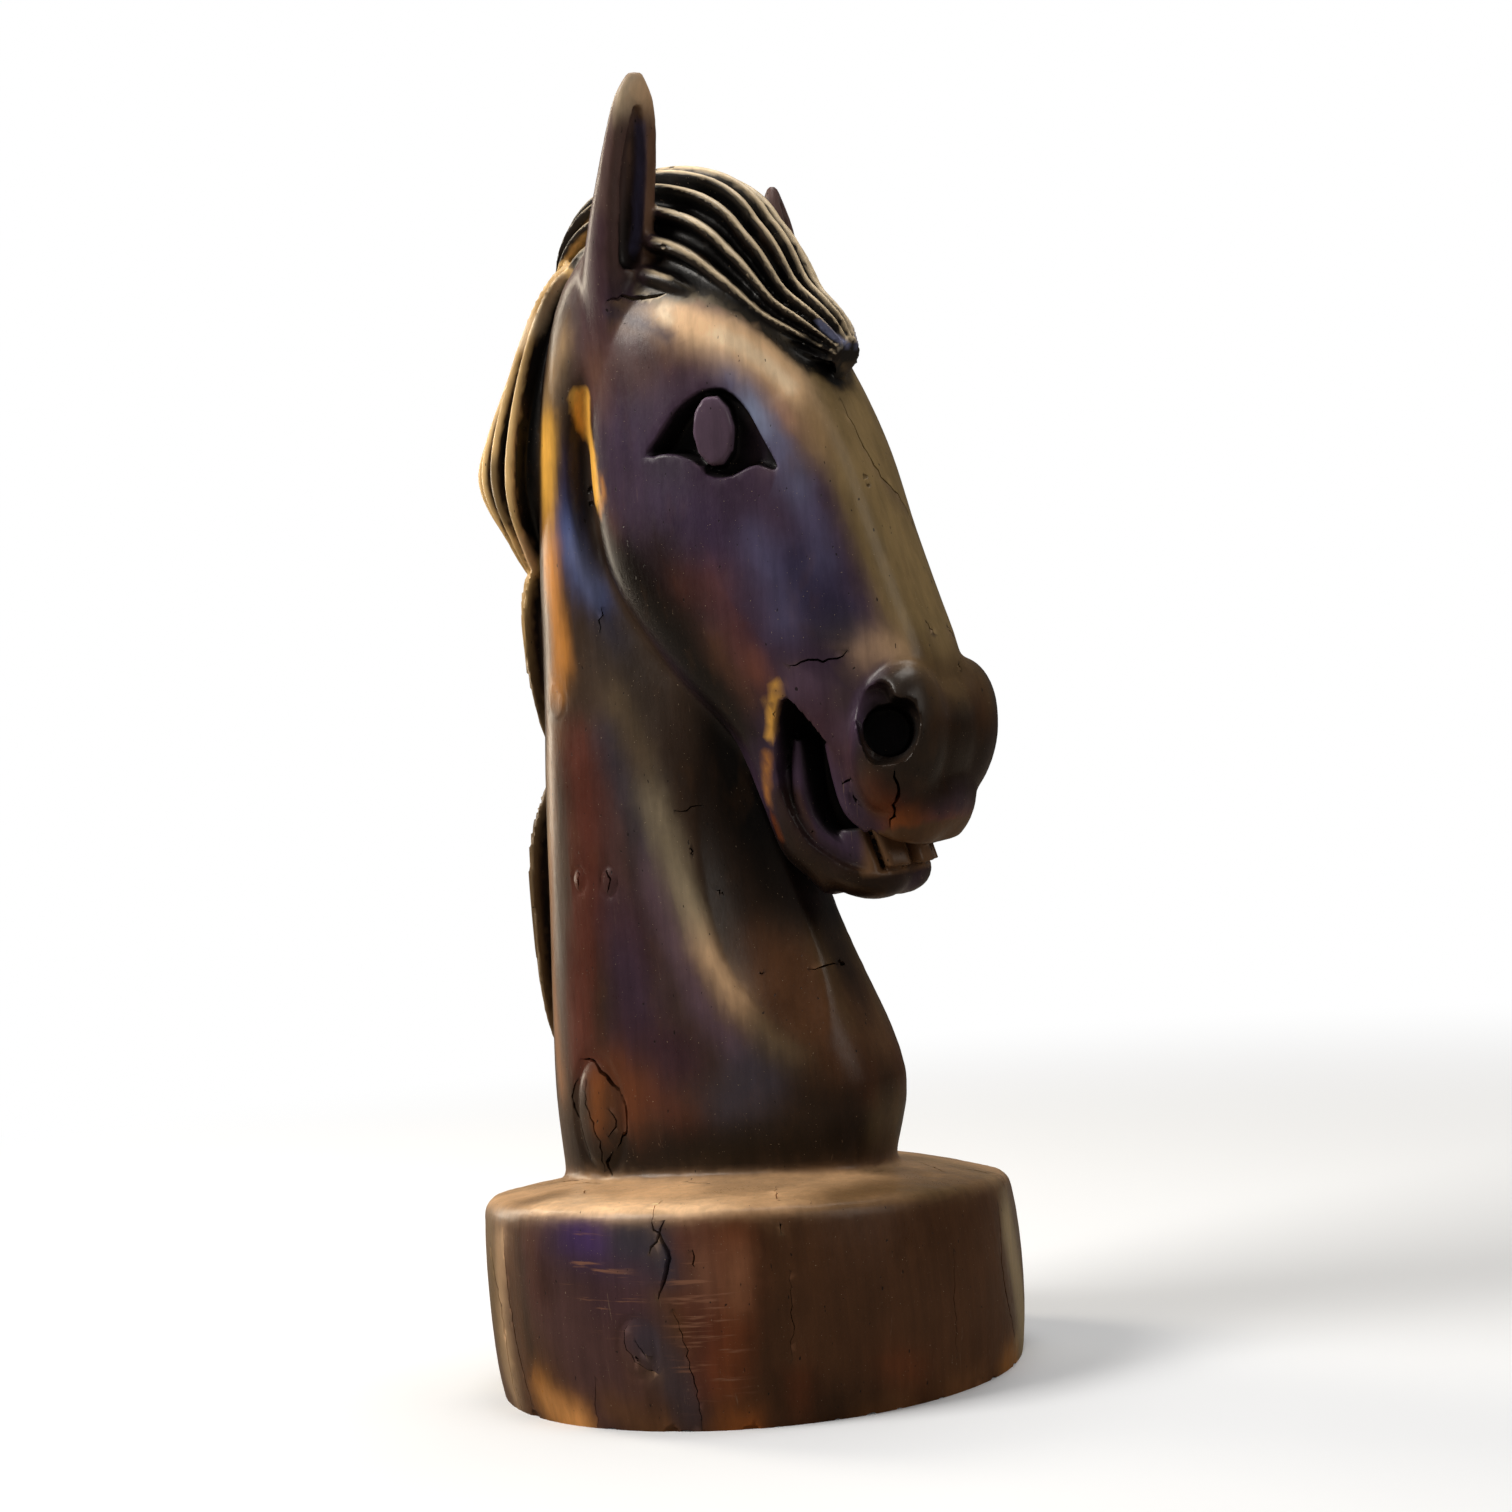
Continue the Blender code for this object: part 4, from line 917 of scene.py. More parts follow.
# Stains by zone, in the order of laying; lay() says what a row holds
STAINS = [
    ["wall", ("brown", 1)],
    # The top's tan is partly painted light from above
    ["top", ("top_tan", 1)],
    ["neck", ("umber", 1)],
    # The face's violet is partly painted reflection of a blue sky
    ["face", ("violet", 1)],
    ["ear", ("ear_grey", 1)],
    # Wall of the log, from left to right
    ["wall",
     ("plum_brown", 1, 34, 26, (545, 1260), (560, 1310), (590, 1355), (605, 1400)),
     ("maroon", 0.6, 14, 12, (535, 1250), (540, 1290)),
     # Violet here is partly painted reflection of a blue sky
     ("violet", 0.9, 20, 17, (560, 1236), (600, 1252), (650, 1260)),
     ("bright_violet", 0.6, 12, 11, (572, 1232), (592, 1242)),
     ("slate", 1, 14, 10, (628, 1236), (656, 1242), (674, 1268)),
     ("black_brown", 0.5, 10, 9, (536, 1262), (548, 1292)),
     ("plum", 0.9, 16, 14, (600, 1302), (640, 1310), (640, 1330)),
     ("slate", 0.8, 14, 12, (648, 1340), (664, 1362), (680, 1390), (686, 1415)),
     ("maroon", 1, 14, 9, (694, 1240), (706, 1266), (702, 1300)),
     ("maroon", 0.8, 12, 10, (704, 1330), (712, 1390)),
     ("rust", 0.95, 12, 9, (738, 1240), (741, 1285), (736, 1340), (728, 1385)),
     ("rosy_tan", 0.3, 9, 8, (738, 1250), (738, 1300)),
     ("rosy_tan", 0.25, 9, 8, (700, 1248), (704, 1290)),
     ("dark_bark", 0.5, 7, 6, (760, 1235), (760, 1300), (757, 1360)),
     ("dark_bark", 0.6, 14, 12, (790, 1385), (840, 1405), (875, 1400)),
     ("rust", 0.8, 6, 5, (799, 1372), (801, 1405)), ("rust", 0.6, 10, 9, (890, 1362), (915, 1370)),
     # Painted highlight on the hewn facet at the right
     ("light_olive", 0.9, 16, 6, (1008, 1225), (1019, 1290), (1023, 1345)),
     ("light_olive", 0.8, 10, 8, (1021, 1320), (1024, 1345)),
     # Left edge: a painted highlight down the light tan strip, between darker strips
     ("olive_brown", 1, 12, 4, (484, 1232), (487, 1300), (496, 1370)),
     ("light_tan", 0.6, 7, 5, (501, 1235), (502, 1300), (508, 1360), (516, 1400)),
     ("dark_bark", 0.9, 6, 5, (519, 1238), (523, 1300), (531, 1352)),
     # Along the foot, the chipped edge with painted orange highlights, brightest at the left
     ("amber", 1, 10, 7, (541, 1388), (556, 1408), (582, 1420)),
     ("glow", 1, 5, 4, (545, 1398), (560, 1410), (584, 1422)),
     ("amber_brown", 0.8, 9, 8, (610, 1405), (640, 1424), (668, 1428)),
     ("orange", 0.9, 5, 4, (722, 1424), (756, 1422)),
     ("amber_brown", 0.8, 5, 4, (800, 1425), (860, 1416), (905, 1404)),
     ("amber_brown", 0.7, 6, 5, (950, 1388), (985, 1374)),
     ("amber", 0.8, 9, 8, (1005, 1362), (1017, 1354))],
    # Top of the log, with painted light from above on its front left and back edge
    ["top",
     ("light_tan", 1, 24, 20, (560, 1203), (620, 1212), (690, 1208)),
     ("top_brown", 0.8, 16, 15, (530, 1200), (560, 1192)),
     ("top_brown", 1, 38, 34, (850, 1196), (900, 1188), (990, 1190)),
     ("olive_brown", 0.9, 14, 12, (925, 1194), (965, 1200)),
     ("tan", 0.8, 12, 10, (905, 1158), (965, 1166), (995, 1182))],
    # Neck, from left to right
    ["neck",
     ("slate_brown", 0.9, 20, 17, (612, 650), (640, 700), (668, 770)),
     ("dark_bark", 0.8, 18, 15, (675, 740), (703, 790), (728, 850), (746, 910)),
     ("brown", 1, 28, 18, (780, 985), (830, 1020), (862, 1055)),
     ("brown", 0.8, 14, 12, (750, 940), (790, 962)),
     ("plum_brown", 0.9, 15, 13, (598, 745), (612, 850), (612, 930)),
     ("maroon", 1, 16, 12, (572, 742), (584, 800), (586, 900), (578, 1000), (584, 1060)),
     ("plum", 1, 20, 16, (622, 915), (636, 980), (632, 1030), (680, 1060)),
     # Violet, partly painted reflection of a blue sky
     ("violet", 0.7, 15, 13, (625, 960), (640, 1010)),
     ("slate", 0.9, 9, 8, (606, 730), (622, 780), (642, 845)),
     ("lilac", 0.6, 9, 8, (650, 870), (668, 925), (690, 985)),
     ("lilac", 0.8, 9, 8, (700, 1003), (718, 1028), (738, 1052)),
     ("slate", 0.9, 18, 15, (745, 1068), (765, 1085), (725, 1105)),
     ("rust", 0.6, 15, 13, (612, 1066), (636, 1084), (632, 1112)),
     ("maroon", 0.6, 14, 12, (660, 1100), (690, 1125)),
     ("dark_bark", 0.9, 12, 10, (800, 1098), (850, 1096), (880, 1080)),
     # Painted shade where the neck meets the top of the log
     ("black_brown", 1, 18, 14, (580, 1166), (640, 1160), (700, 1148), (780, 1146), (860, 1138)),
     # Painted highlight down the ridge of the neck
     ("taupe_brown", 0.8, 8, 7, (614, 694), (630, 730), (646, 768)),
     ("taupe", 1, 8, 7, (650, 795), (667, 843), (684, 890), (698, 930)),
     ("light_tan", 0.8, 7, 6, (702, 944), (720, 975), (741, 1004)),
     ("taupe_brown", 1, 7, 6, (754, 1020), (772, 1040), (800, 1057)),
     ("warm_brown", 0.9, 10, 9, (876, 1010), (884, 1045)),
     ("olive_brown", 0.8, 6, 5, (846, 930), (864, 970), (884, 1015)),
     ("dark_bark", 0.8, 9, 8, (840, 955), (850, 978)), ("olive", 0.8, 6, 5, (899, 1100), (896, 1124)),
     ("rust", 0.6, 4, 3, (902, 1068), (904, 1088)),
     # Painted shadow of the jaw, down the throat
     ("black_brown", 1, 18, 13, (680, 662), (708, 702), (738, 762), (757, 822), (776, 870), (805, 905)),
     ("shade_black", 1, 16, 12, (688, 674), (718, 712), (744, 764), (758, 830)),
     # Painted warm light down the neck's left edge
     ("amber_brown", 1, 8, 7, (549, 735), (551, 800), (551, 900), (554, 1000), (562, 1090)),
     ("tan", 0.7, 5, 4, (547, 760), (549, 830), (549, 900), (552, 980)),
     ("orange", 0.5, 8, 7, (596, 1085), (598, 1125))],
    # Strip and hollow beside the cheek, with painted warm light on the strip
    ["neck",
     ("tan", 0.9, 8, 6, (566, 335), (552, 372), (544, 412)), ("gold", 1, 10, 5, (546, 430), (547, 500)),
     ("amber", 1, 10, 6, (548, 540), (552, 592)),
     ("amber", 1, 9, 7, (557, 622), (562, 655), (556, 692)),
     ("amber_brown", 0.8, 8, 7, (548, 722), (556, 740))],
    # Painted shade in the hollow behind the cheek
    ["any", ("black_brown", 1, 6, 5, (577, 426), (580, 470), (587, 518))],
    # Painted blue reflection in the hollow
    ["neck",
     ("ink", 1, 6, 5, (570, 455), (563, 500)),
     ("deep_blue", 1, 9, 7, (562, 520), (570, 555), (583, 580), (600, 600)),
     ("steel_blue", 0.8, 6, 5, (571, 545), (583, 572), (597, 596)),
     ("slate", 0.9, 9, 8, (602, 622), (620, 642))],
    # Painted shade under the cheek
    ["any", ("black_brown", 0.9, 6, 5, (598, 548), (616, 582), (640, 615), (665, 645))],
    # Face
    ["face",
     ("plum_brown", 1, 20, 15, (585, 325), (600, 350), (645, 368), (690, 365)),
     ("amber_brown", 0.4, 12, 10, (592, 372), (602, 402)),
     # Violets on the cheek, partly painted reflection of a blue sky
     ("violet", 0.9, 12, 10, (650, 405), (690, 380), (722, 385)),
     ("deep_violet", 0.7, 12, 11, (622, 418), (636, 445)),
     ("deep_violet", 0.8, 18, 16, (668, 500), (702, 520), (720, 545)),
     ("slate", 0.6, 8, 7, (655, 462), (680, 474)), ("rust", 1, 9, 8, (598, 515), (612, 530))],
    # Painted shade along the cheek's lower edge, over the neck
    ["any",
     ("black_brown", 1, 18, 12, (615, 552), (640, 585), (668, 620), (696, 662), (722, 700), (742, 730)),
     ("shade_black", 0.8, 12, 9, (662, 634), (696, 682), (722, 722))],
    ["face",
     ("dark_bark", 0.8, 14, 12, (655, 545), (683, 585), (700, 615)),
     ("rust", 0.35, 12, 11, (684, 582), (712, 575), (722, 600)),
     ("brown", 0.9, 9, 8, (718, 640), (736, 678), (752, 700)),
     # Painted orange light on the jaw's lower edge
     ("rust", 0.9, 5, 4, (734, 622), (745, 640)),
     ("orange", 0.9, 3.5, 3, (748, 650), (756, 668), (763, 682)),
     # Blue and ink down the cheek: painted reflection of a blue sky
     ("dusty_blue", 0.75, 8, 7, (752, 532), (766, 566), (785, 600), (782, 634)),
     ("ink", 0.9, 16, 14, (800, 565), (822, 592), (838, 610)),
     ("slate", 0.9, 10, 9, (830, 632), (852, 628)), ("violet", 0.7, 7, 6, (764, 622), (772, 652))],
    # The front plane's olive is partly painted light from ahead
    ["front", ("olive", 1)],
    ["face",
     # Painted light from above on the front plane's edge and the brow, and painted blue reflection along
     # the brow's edge
     ("olive", 1, 11, 5, (838, 440), (860, 500), (886, 562), (904, 612)),
     ("tan", 0.9, 10, 7, (806, 412), (818, 446)), ("tan", 1, 6, 4, (617, 310), (640, 318)),
     ("light_tan", 1, 10, 6, (660, 318), (700, 332), (738, 342), (772, 362), (796, 388)),
     ("light_tan", 1, 6, 4, (664, 301), (700, 318), (735, 328), (766, 350), (790, 372)),
     ("pale", 0.7, 4, 3, (658, 306), (660, 322)), ("pale", 0.6, 5, 4, (712, 334), (728, 340)),
     ("rosy_tan", 0.6, 4, 3, (762, 386), (782, 408), (792, 425)),
     ("steel_blue", 0.7, 4.5, 4, (724, 369), (740, 384)),
     ("sky_blue", 1, 5, 4, (747, 396), (757, 413), (769, 433)),
     ("steel_blue", 1, 5, 4, (774, 441), (790, 465), (801, 490)),
     ("dusty_blue", 1, 6, 5, (807, 506), (818, 535), (827, 562))],
    # Muzzle and jaw
    ["face",
     ("muzzle", 1, 26, 8, (925, 690), (930, 750), (890, 785)),
     ("black_brown", 0.7, 6, 5, (880, 678), (908, 688), (922, 710)),
     ("muzzle", 1, 20, 6, (978, 690), (968, 750)),
     ("dark_bark", 1, 15, 12, (953, 743), (944, 785), (920, 795)),
     # Painted light on the muzzle's top
     ("olive_brown", 0.9, 11, 9, (908, 655), (932, 668), (958, 690)),
     ("light_tan", 0.9, 6, 5, (862, 652), (880, 643), (900, 650)),
     # The thin olive brown here is a painted highlight on the far edge
     ("brown", 0.8, 8, 7, (978, 690), (985, 722)), ("olive_brown", 0.9, 4, 3, (980, 674), (990, 702)),
     ("black_brown", 0.7, 6, 5, (991, 735), (977, 765)),
     ("plum", 1, 11, 8, (812, 712), (832, 735), (850, 770)),
     ("lilac", 0.7, 4, 3.5, (836, 740), (846, 722)), ("lilac", 0.7, 9, 8, (790, 682), (812, 688)),
     ("taupe_brown", 0.9, 3, 2.5, (840, 705), (847, 688), (851, 668)),
     ("maroon", 0.9, 9, 8, (868, 786), (896, 798)),
     # Painted orange light under the upper lip
     ("rust", 1, 9, 7, (880, 800), (893, 818), (914, 828)),
     ("orange", 1, 6, 4, (900, 826), (918, 834), (934, 838), (945, 828)),
     ("black_brown", 1, 16, 10, (780, 838), (800, 866), (830, 884), (880, 886))],
    # Ear, with a pale tip of light wood and painted highlight, and painted highlights down its left edge
    ["ear",
     ("pale", 1, 7, 4, (637, 86), (624, 102)), ("light_tan", 1, 6, 3, (640, 86), (656, 112)),
     ("tan", 0.9, 3.5, 3, (606, 128), (592, 165), (580, 200))],
    ["any",
     ("plum", 1, 14, 9, (590, 310), (590, 275), (592, 240)),
     ("black_brown", 0.5, 10, 8, (590, 300), (590, 265), (594, 235))],
    # Painted highlight down the ear's left edge
    ["ear", ("tan", 0.8, 3, 2.5, (600, 150), (588, 185), (578, 222))],
]

# Laid last, over the painted shade and the wear and painted sheen
TOUCHES = [
    ["ear_front",
     ("ear_front", 0.95, 12, 3, (653, 150), (652, 210), (652, 270)),
     ("black_brown", 0.9, 8, 6, (626, 290), (640, 278))],
    # Blue in the ear's gouge, partly painted reflection
    ["any", ("dusty_blue", 0.8, 4, 3, (640, 125), (640, 180), (638, 225), (634, 250))],
    ["knob", ("knob", 1, 60, 2, (713, 425))],
    # Black along the forelock's lower edge, partly painted shade under it
    ["any",
     ("hair_black", 0.95, 5, 3, (676, 280), (712, 294), (742, 309), (765, 327), (788, 348), (808, 366)),
     ("hair_black", 1, 8, 4, (804, 348), (820, 366), (836, 378))],
    # Black at the forelock's tip, partly painted shade; pale and light tan on the mane and a steel blue
    # glint at the tip are painted highlights
    ["hair",
     ("hair_black", 0.9, 6, 4, (848, 368), (844, 356)),
     ("pale", 0.8, 7, 5, (556, 282), (540, 312), (526, 340)),
     ("dark_bark", 0.7, 11, 9, (492, 470), (502, 515)),
     ("light_tan", 0.7, 5, 4, (520, 540), (532, 566)),
     ("steel_blue", 0.9, 2.4, 1.6, (820, 323), (833, 334), (848, 346))],
    # Painted highlight along the brow, over the painted shade
    ["face",
     ("light_tan", 0.9, 7, 5, (664, 311), (700, 326), (735, 340), (764, 360), (792, 386)),
     ("pale", 0.8, 4, 3, (662, 308), (668, 320)),
     ("pale", 0.7, 5, 4, (716, 334), (740, 344), (770, 366), (790, 386)),
     ("ink", 0.7, 6, 5, (612, 312), (640, 322), (668, 336))],
    ["any",
     ("plum", 0.8, 11, 9, (592, 290), (590, 255), (595, 228)),
     # Painted warm light down the neck's left edge
     ("gold", 1, 6.5, 3.2, (582, 398), (588, 425), (592, 460), (596, 496)),
     ("amber", 0.8, 3.4, 3, (601, 478), (604, 495), (600, 512))],
    # Painted gold and orange light on the jaw's rim by the mouth
    ["face",
     ("gold", 0.8, 3.6, 3.6, (777, 684), (772, 706), (770, 736)),
     ("amber", 0.7, 4.2, 4.2, (768, 756), (766, 780), (768, 800)),
     ("rust", 0.8, 3.5, 3, (773, 818), (781, 838))],
    ["any", ("plum_brown", 0.8, 2.4, 2, (797, 792), (805, 815), (815, 838))],
    ["face", ("dark_bark", 0.8, 11, 8, (786, 800), (800, 846), (836, 876), (880, 884), (908, 870))],
    ["tooth", ("tooth", 1)],
]
FAR_SIDE = 0.7  # strength of the strokes on the hidden side
STAIN_WANDER = [(1.6, 22, (1, 1, 0.6)), (0.8, 6, (1, 1, 0.4))]  # uneven edges: reach, size, stretch
WANDER_SEED = 4.0
EVEN_EDGE = 6  # strokes less soft than this wander less
TOUCH_WANDER = 0.5  # how uneven the touches are, as a share
SOAK_STEPS = 7  # times that the stain spreads to its neighbours before the hair and the painted shade go on
FULL_LIGHT = 1.15  # how much paler the stain is than it looks in the light of the stage

# Brush marks across the grain: reach and the pixels of the path
BRUSHED = [(22, [(700, 1285), (706, 1330), (714, 1385)]), (20, [(585, 1262), (612, 1300)])]
BRUSHED_CORE = 0.3  # the share of the reach that they fill

# The rear edge of the face, as height and x
REAR_OF_FACE = [
    (392, -24), (364, -22), (334, -16), (300, -12), (262, -6), (222, 12), (192, 31), (162, 43),
    (138, 50),
]

# Where the zones fade in, in figure units, or in shares of a normal that points up or ahead
LOG_BELOW = (0, 5)
LOG_TOP_FACING = (0.35, 0.75)
FACE_PAST_REAR = (-2, 6)
FACE_ABOVE = (112, 118)
EAR_ABOVE = (384, 398)
EAR_BESIDE = (24, 29)
EAR_EDGE = (15, 19)  # where the right ear ends ahead, at the height of EAR_EDGE_FROM
EAR_EDGE_FROM = 397
EAR_EDGE_SLOPE = 0.235  # how far its edge leans ahead for each step up
EAR_FRONT_FACING = (0.45, 0.75)
FRONT_BEYOND = (52, 68)
FRONT_ABOVE = (200, 222)
FRONT_FACING = (0.42, 0.72)
TEETH_WITHIN = 27  # distance from the middle
TEETH_BEYOND = (90, 97)
TEETH_BELOW = 149
TEETH_ABOVE = (126, 128)
KNOB_MARGINS = (3, 1)  # how far the knob's stain goes past its cut face, across it and up
KNOB_MARGIN_BEHIND = 3

# Hair: each lock, its outward way and the first word of its tones
LOCKS = [(FORELOCK, FORELOCK_OUTWARD, "forelock"), *[(rows, MANE_OUTWARD, "mane") for rows in MANE]]
HAIR_ABOVE = 4  # height at which the mane's stain ends, over the log
HAIR_OUTWARD = (-0.3, -0.05)  # where the stain fades in on a lock's underside, as shares of it
HAIR_EDGE = (0.4, 1.8)  # how far past a lock's skin it fades out
STRAND_SIDES, STRAND_CRESTS = (-2.6, -1.2), (-2.2, -0.9)  # where they fade in, from the lock's skin
SIDE_STRENGTH, MANE_CREST_STRENGTH = 0.9, 0.8
LIT_AHEAD = 0.35  # share of the painted light on the forelock that comes from ahead
LIT = (0.25, 0.8)  # where that painted light fades in, as the skin turns to it
UNLIT_SIDES = 0.35  # strength of the forelock's sides outside the painted light, as a share
MANE_FOOT_STRENGTH = 0.8
MANE_FOOT_FADE = (210, 290)  # heights between which the dark foot of the mane fades out

# Hollows that take deeper painted shade: place and reach
SHADED_HOLLOWS = [
    ((48, -40, 318), 36), ((117, -33, 193), 20), ((76, -36, 186), 30), ((84, -28, 156), 30),
    ((16, -36, 426), 40),
]

# Painted shade of hollows and creases, and wear with painted sheen, by the share of the sky that the wood
# sees and the bend of its skin
SPOT_CORE = 0.7  # the share of its reach that a spot fills
SHADED_SKY = (0.10, 0.52)  # shares seen where the painted shade is full and where there is none
SHADED_SKY_IN_SPOTS = (0.30, 0.34)  # what the hollows above add to these
HOLLOW_SHADE_STRENGTH, CREASE_SHADE_STRENGTH, WEAR_AND_SHEEN_STRENGTH = 0.95, 0.5, 0.75
CREASES, WORN_LIT_RIDGES = (0.08, 0.5), (0.22, 0.6)  # bends where they fade in
WORN_LIT_SKY = (0.3, 0.7)  # shares seen where the wear and painted sheen fade in
HAIR_SPARED = 0.6  # how much less wear and painted sheen the hair takes, as a share
WORN_LIT_GAIN, WORN_LIT_LIFT = 2.2, 0.02  # the wear and painted sheen multiply a colour by one and add the other
LEAST_SPAN = 0.04  # shorter edges count as having this squared length
RAYS = 40
RAY_JITTER = 0.3  # in radians
RAY_SEED = 5
RAY_START = 0.0006  # in metres off the skin, as RAY_REACH is
RAY_REACH = 0.045
LEAST_RAY = 0.2  # rays flatter to the skin than this don't count


def knob_reach(near):
    """How far outside the eye's cut face each point lies, across it or behind it."""
    facing = Vector(sided(KNOB_FACING, -1)).normalized()
    across = Vector((0, 0, 1)).cross(facing)
    offset = near - np.array(sided(KNOB_CENTRE, -1))
    aside = offset @ np.array(across) / (KNOB_HALF[0] + KNOB_MARGINS[0])
    above = (offset[:, 2] - KNOB_OFFSET[1]) / (KNOB_HALF[1] + KNOB_MARGINS[1])
    beside = (np.hypot(aside, above) - 1) * KNOB_HALF[0]
    return np.maximum(beside, -KNOB_MARGIN_BEHIND - offset @ np.array(facing))


def zones(points, normals, near):
    """How far each vertex belongs to each zone of the sculpture, from 0 to 1."""
    x, y, z = points.T
    ahead, _, up = normals.T
    height, rear = zip(*sorted(REAR_OF_FACE))
    log = 1 - ramp(z, *LOG_BELOW)
    top = log * ramp(up, *LOG_TOP_FACING)
    face = ramp(x - np.interp(z, height, rear), *FACE_PAST_REAR) * ramp(z, *FACE_ABOVE)
    before_ear = ramp(x - EAR_EDGE_SLOPE * (z - EAR_EDGE_FROM), *EAR_EDGE) * (y < 0)
    ear = ramp(z, *EAR_ABOVE) * ramp(np.abs(y), *EAR_BESIDE) * (1 - before_ear)
    front = face * (1 - ear) * ramp(x, *FRONT_BEYOND) * ramp(ahead, *FRONT_FACING) * ramp(z, *FRONT_ABOVE)
    tooth = (np.abs(y) < TEETH_WITHIN) * ramp(x, *TEETH_BEYOND)
    return {
        "any": np.ones(len(z)),
        "wall": log - top,
        "top": top,
        "neck": (1 - log) * (1 - face),
        "face": face,
        "front": front,
        "ear": ear,
        "ear_front": ear * ramp(ahead, *EAR_FRONT_FACING),
        "knob": 1 - ramp(knob_reach(near), 0, 1),
        "tooth": tooth * ramp(TEETH_BELOW - z, 0, 1) * ramp(z, *TEETH_ABOVE),
    }


def tone(name):
    """A tone as light, from its sRGB numbers."""
    value = np.array(TONES[name]) / 255
    return FULL_LIGHT * np.where(value > 0.04045, ((value + 0.055) / 1.055) ** 2.4, value / 12.92)


def lock_depth(points, rows, outward):
    """How far each point lies above a lock's skin, in figure units, and how well it is beside it."""
    rows = smooth_curve(rows, LOCK_STEPS)
    path = rows[:, :3]
    tree = kdtree.KDTree(len(path))
    for k, spot in enumerate(path):
        tree.insert(spot, k)
    tree.balance()
    nearest = np.array([tree.find(p)[1] for p in points])
    _, up, across = (np.array(ways)[nearest] for ways in zip(*frames(path, Vector(outward))))
    offset = points - path[nearest]
    half_width, thickness = rows[nearest, 3], rows[nearest, 4]
    rise = (offset * up).sum(1) / thickness
    aside = (offset * across).sum(1) / half_width
    depth = (np.hypot(rise, aside) - 1) * np.minimum(half_width, thickness)
    return depth, ramp(rise, *HAIR_OUTWARD) * (1 - ramp(depth, *HAIR_EDGE))


def edge_table(obj):
    """The vertices of each edge, and how many neighbours each vertex has."""
    edges = np.empty(len(obj.data.edges) * 2, np.int32)
    obj.data.edges.foreach_get("vertices", edges)
    edges = edges.reshape(-1, 2)
    return edges, np.maximum(1, np.bincount(edges.ravel(), minlength=len(obj.data.vertices)))


def neighbour_mean(values, edges, counts):
    """The mean of the neighbours' values at each vertex."""
    total = np.zeros(len(values))
    for a, b in ((0, 1), (1, 0)):
        total += np.bincount(edges[:, a], values[edges[:, b]], len(values))
    return total / counts


def even_out(values, edges, counts):
    for _ in range(2):
        values = (values + neighbour_mean(values, edges, counts)) / 2
    return values


def soak(colours, edges, counts):
    """Lets the stain run into the wood around it."""
    for k in range(3):
        for _ in range(SOAK_STEPS):
            colours[:, k] = (colours[:, k] + 2 * neighbour_mean(colours[:, k], edges, counts)) / 3
    return colours


def curvature(points, normals, edges, counts):
    """Mean bend of the skin at each vertex, 1 over figure units, above 0 on ridges."""
    span = points[edges[:, 0]] - points[edges[:, 1]]
    turn = normals[edges[:, 0]] - normals[edges[:, 1]]
    bend = (span * turn).sum(1) / np.maximum((span * span).sum(1), LEAST_SPAN)
    total = np.zeros(len(points))
    for side in (0, 1):
        np.add.at(total, edges[:, side], bend)
    return even_out(total / counts, edges, counts)


def openness(obj, normals):
    """The share of the sky that each vertex sees, as far as RAY_REACH."""
    skin = skin_tree(obj)
    rng = random.Random(RAY_SEED)
    rays = []
    for k in range(RAYS):
        z = 1 - 2 * (k + 0.5) / RAYS
        turn = k * math.pi * (3 - math.sqrt(5)) + rng.uniform(0, RAY_JITTER)
        flat = math.sqrt(1 - z * z)
        rays.append(Vector((flat * math.cos(turn), flat * math.sin(turn), z)))
    found = []
    for vert, normal in zip(obj.data.vertices, normals):
        normal = Vector(normal)
        start = vert.co + normal * RAY_START
        free = whole = 0
        for ray in rays:
            share = ray.dot(normal)
            if share > LEAST_RAY:
                whole += share
                if skin.ray_cast(start, ray, RAY_REACH)[0] is None:
                    free += share
        found.append(free / whole if whole else 1)
    return np.array(found)


def blend(colours, new, weight):
    return colours + (new - colours) * weight[:, None]


def twins(path, where):
    """A stain's path and its double on the hidden side, where the log is turned half round."""
    turn = (-1, -1, 1) if where in ("wall", "top") else (1, -1, 1)
    return path, [tuple(a * b for a, b in zip(spot, turn)) for spot in path]


def stroke(points, path, reach, soft, uneven):
    """How much of a brush stroke along a path each point takes."""
    return 1 - ramp(distance_from(points, path) + uneven, reach - soft, reach)


def lay(colours, table, points, zone, wander, skin):
    """Lays a table's stains in its order, each within its zone.

    A row is a tone, its strength, the reach and the softness of the brush and the pixels of the
    photograph that it passes, or a tone and its strength for all of the zone. The hidden side
    gets the double of each stroke.
    """
    for where, *rows in table:
        for name, strength, *brush in rows:
            weight = strength * zone[where]
            if brush:
                reach, soft, *pixels = brush
                uneven = wander * min(1, soft / EVEN_EDGE)
                paths = twins(on_wood(skin, pixels), where)
                shown, hidden = (stroke(points, path, reach, soft, uneven) for path in paths)
                weight = weight * np.maximum(shown, FAR_SIDE * hidden)
            colours = blend(colours, tone(name), weight)
    return colours


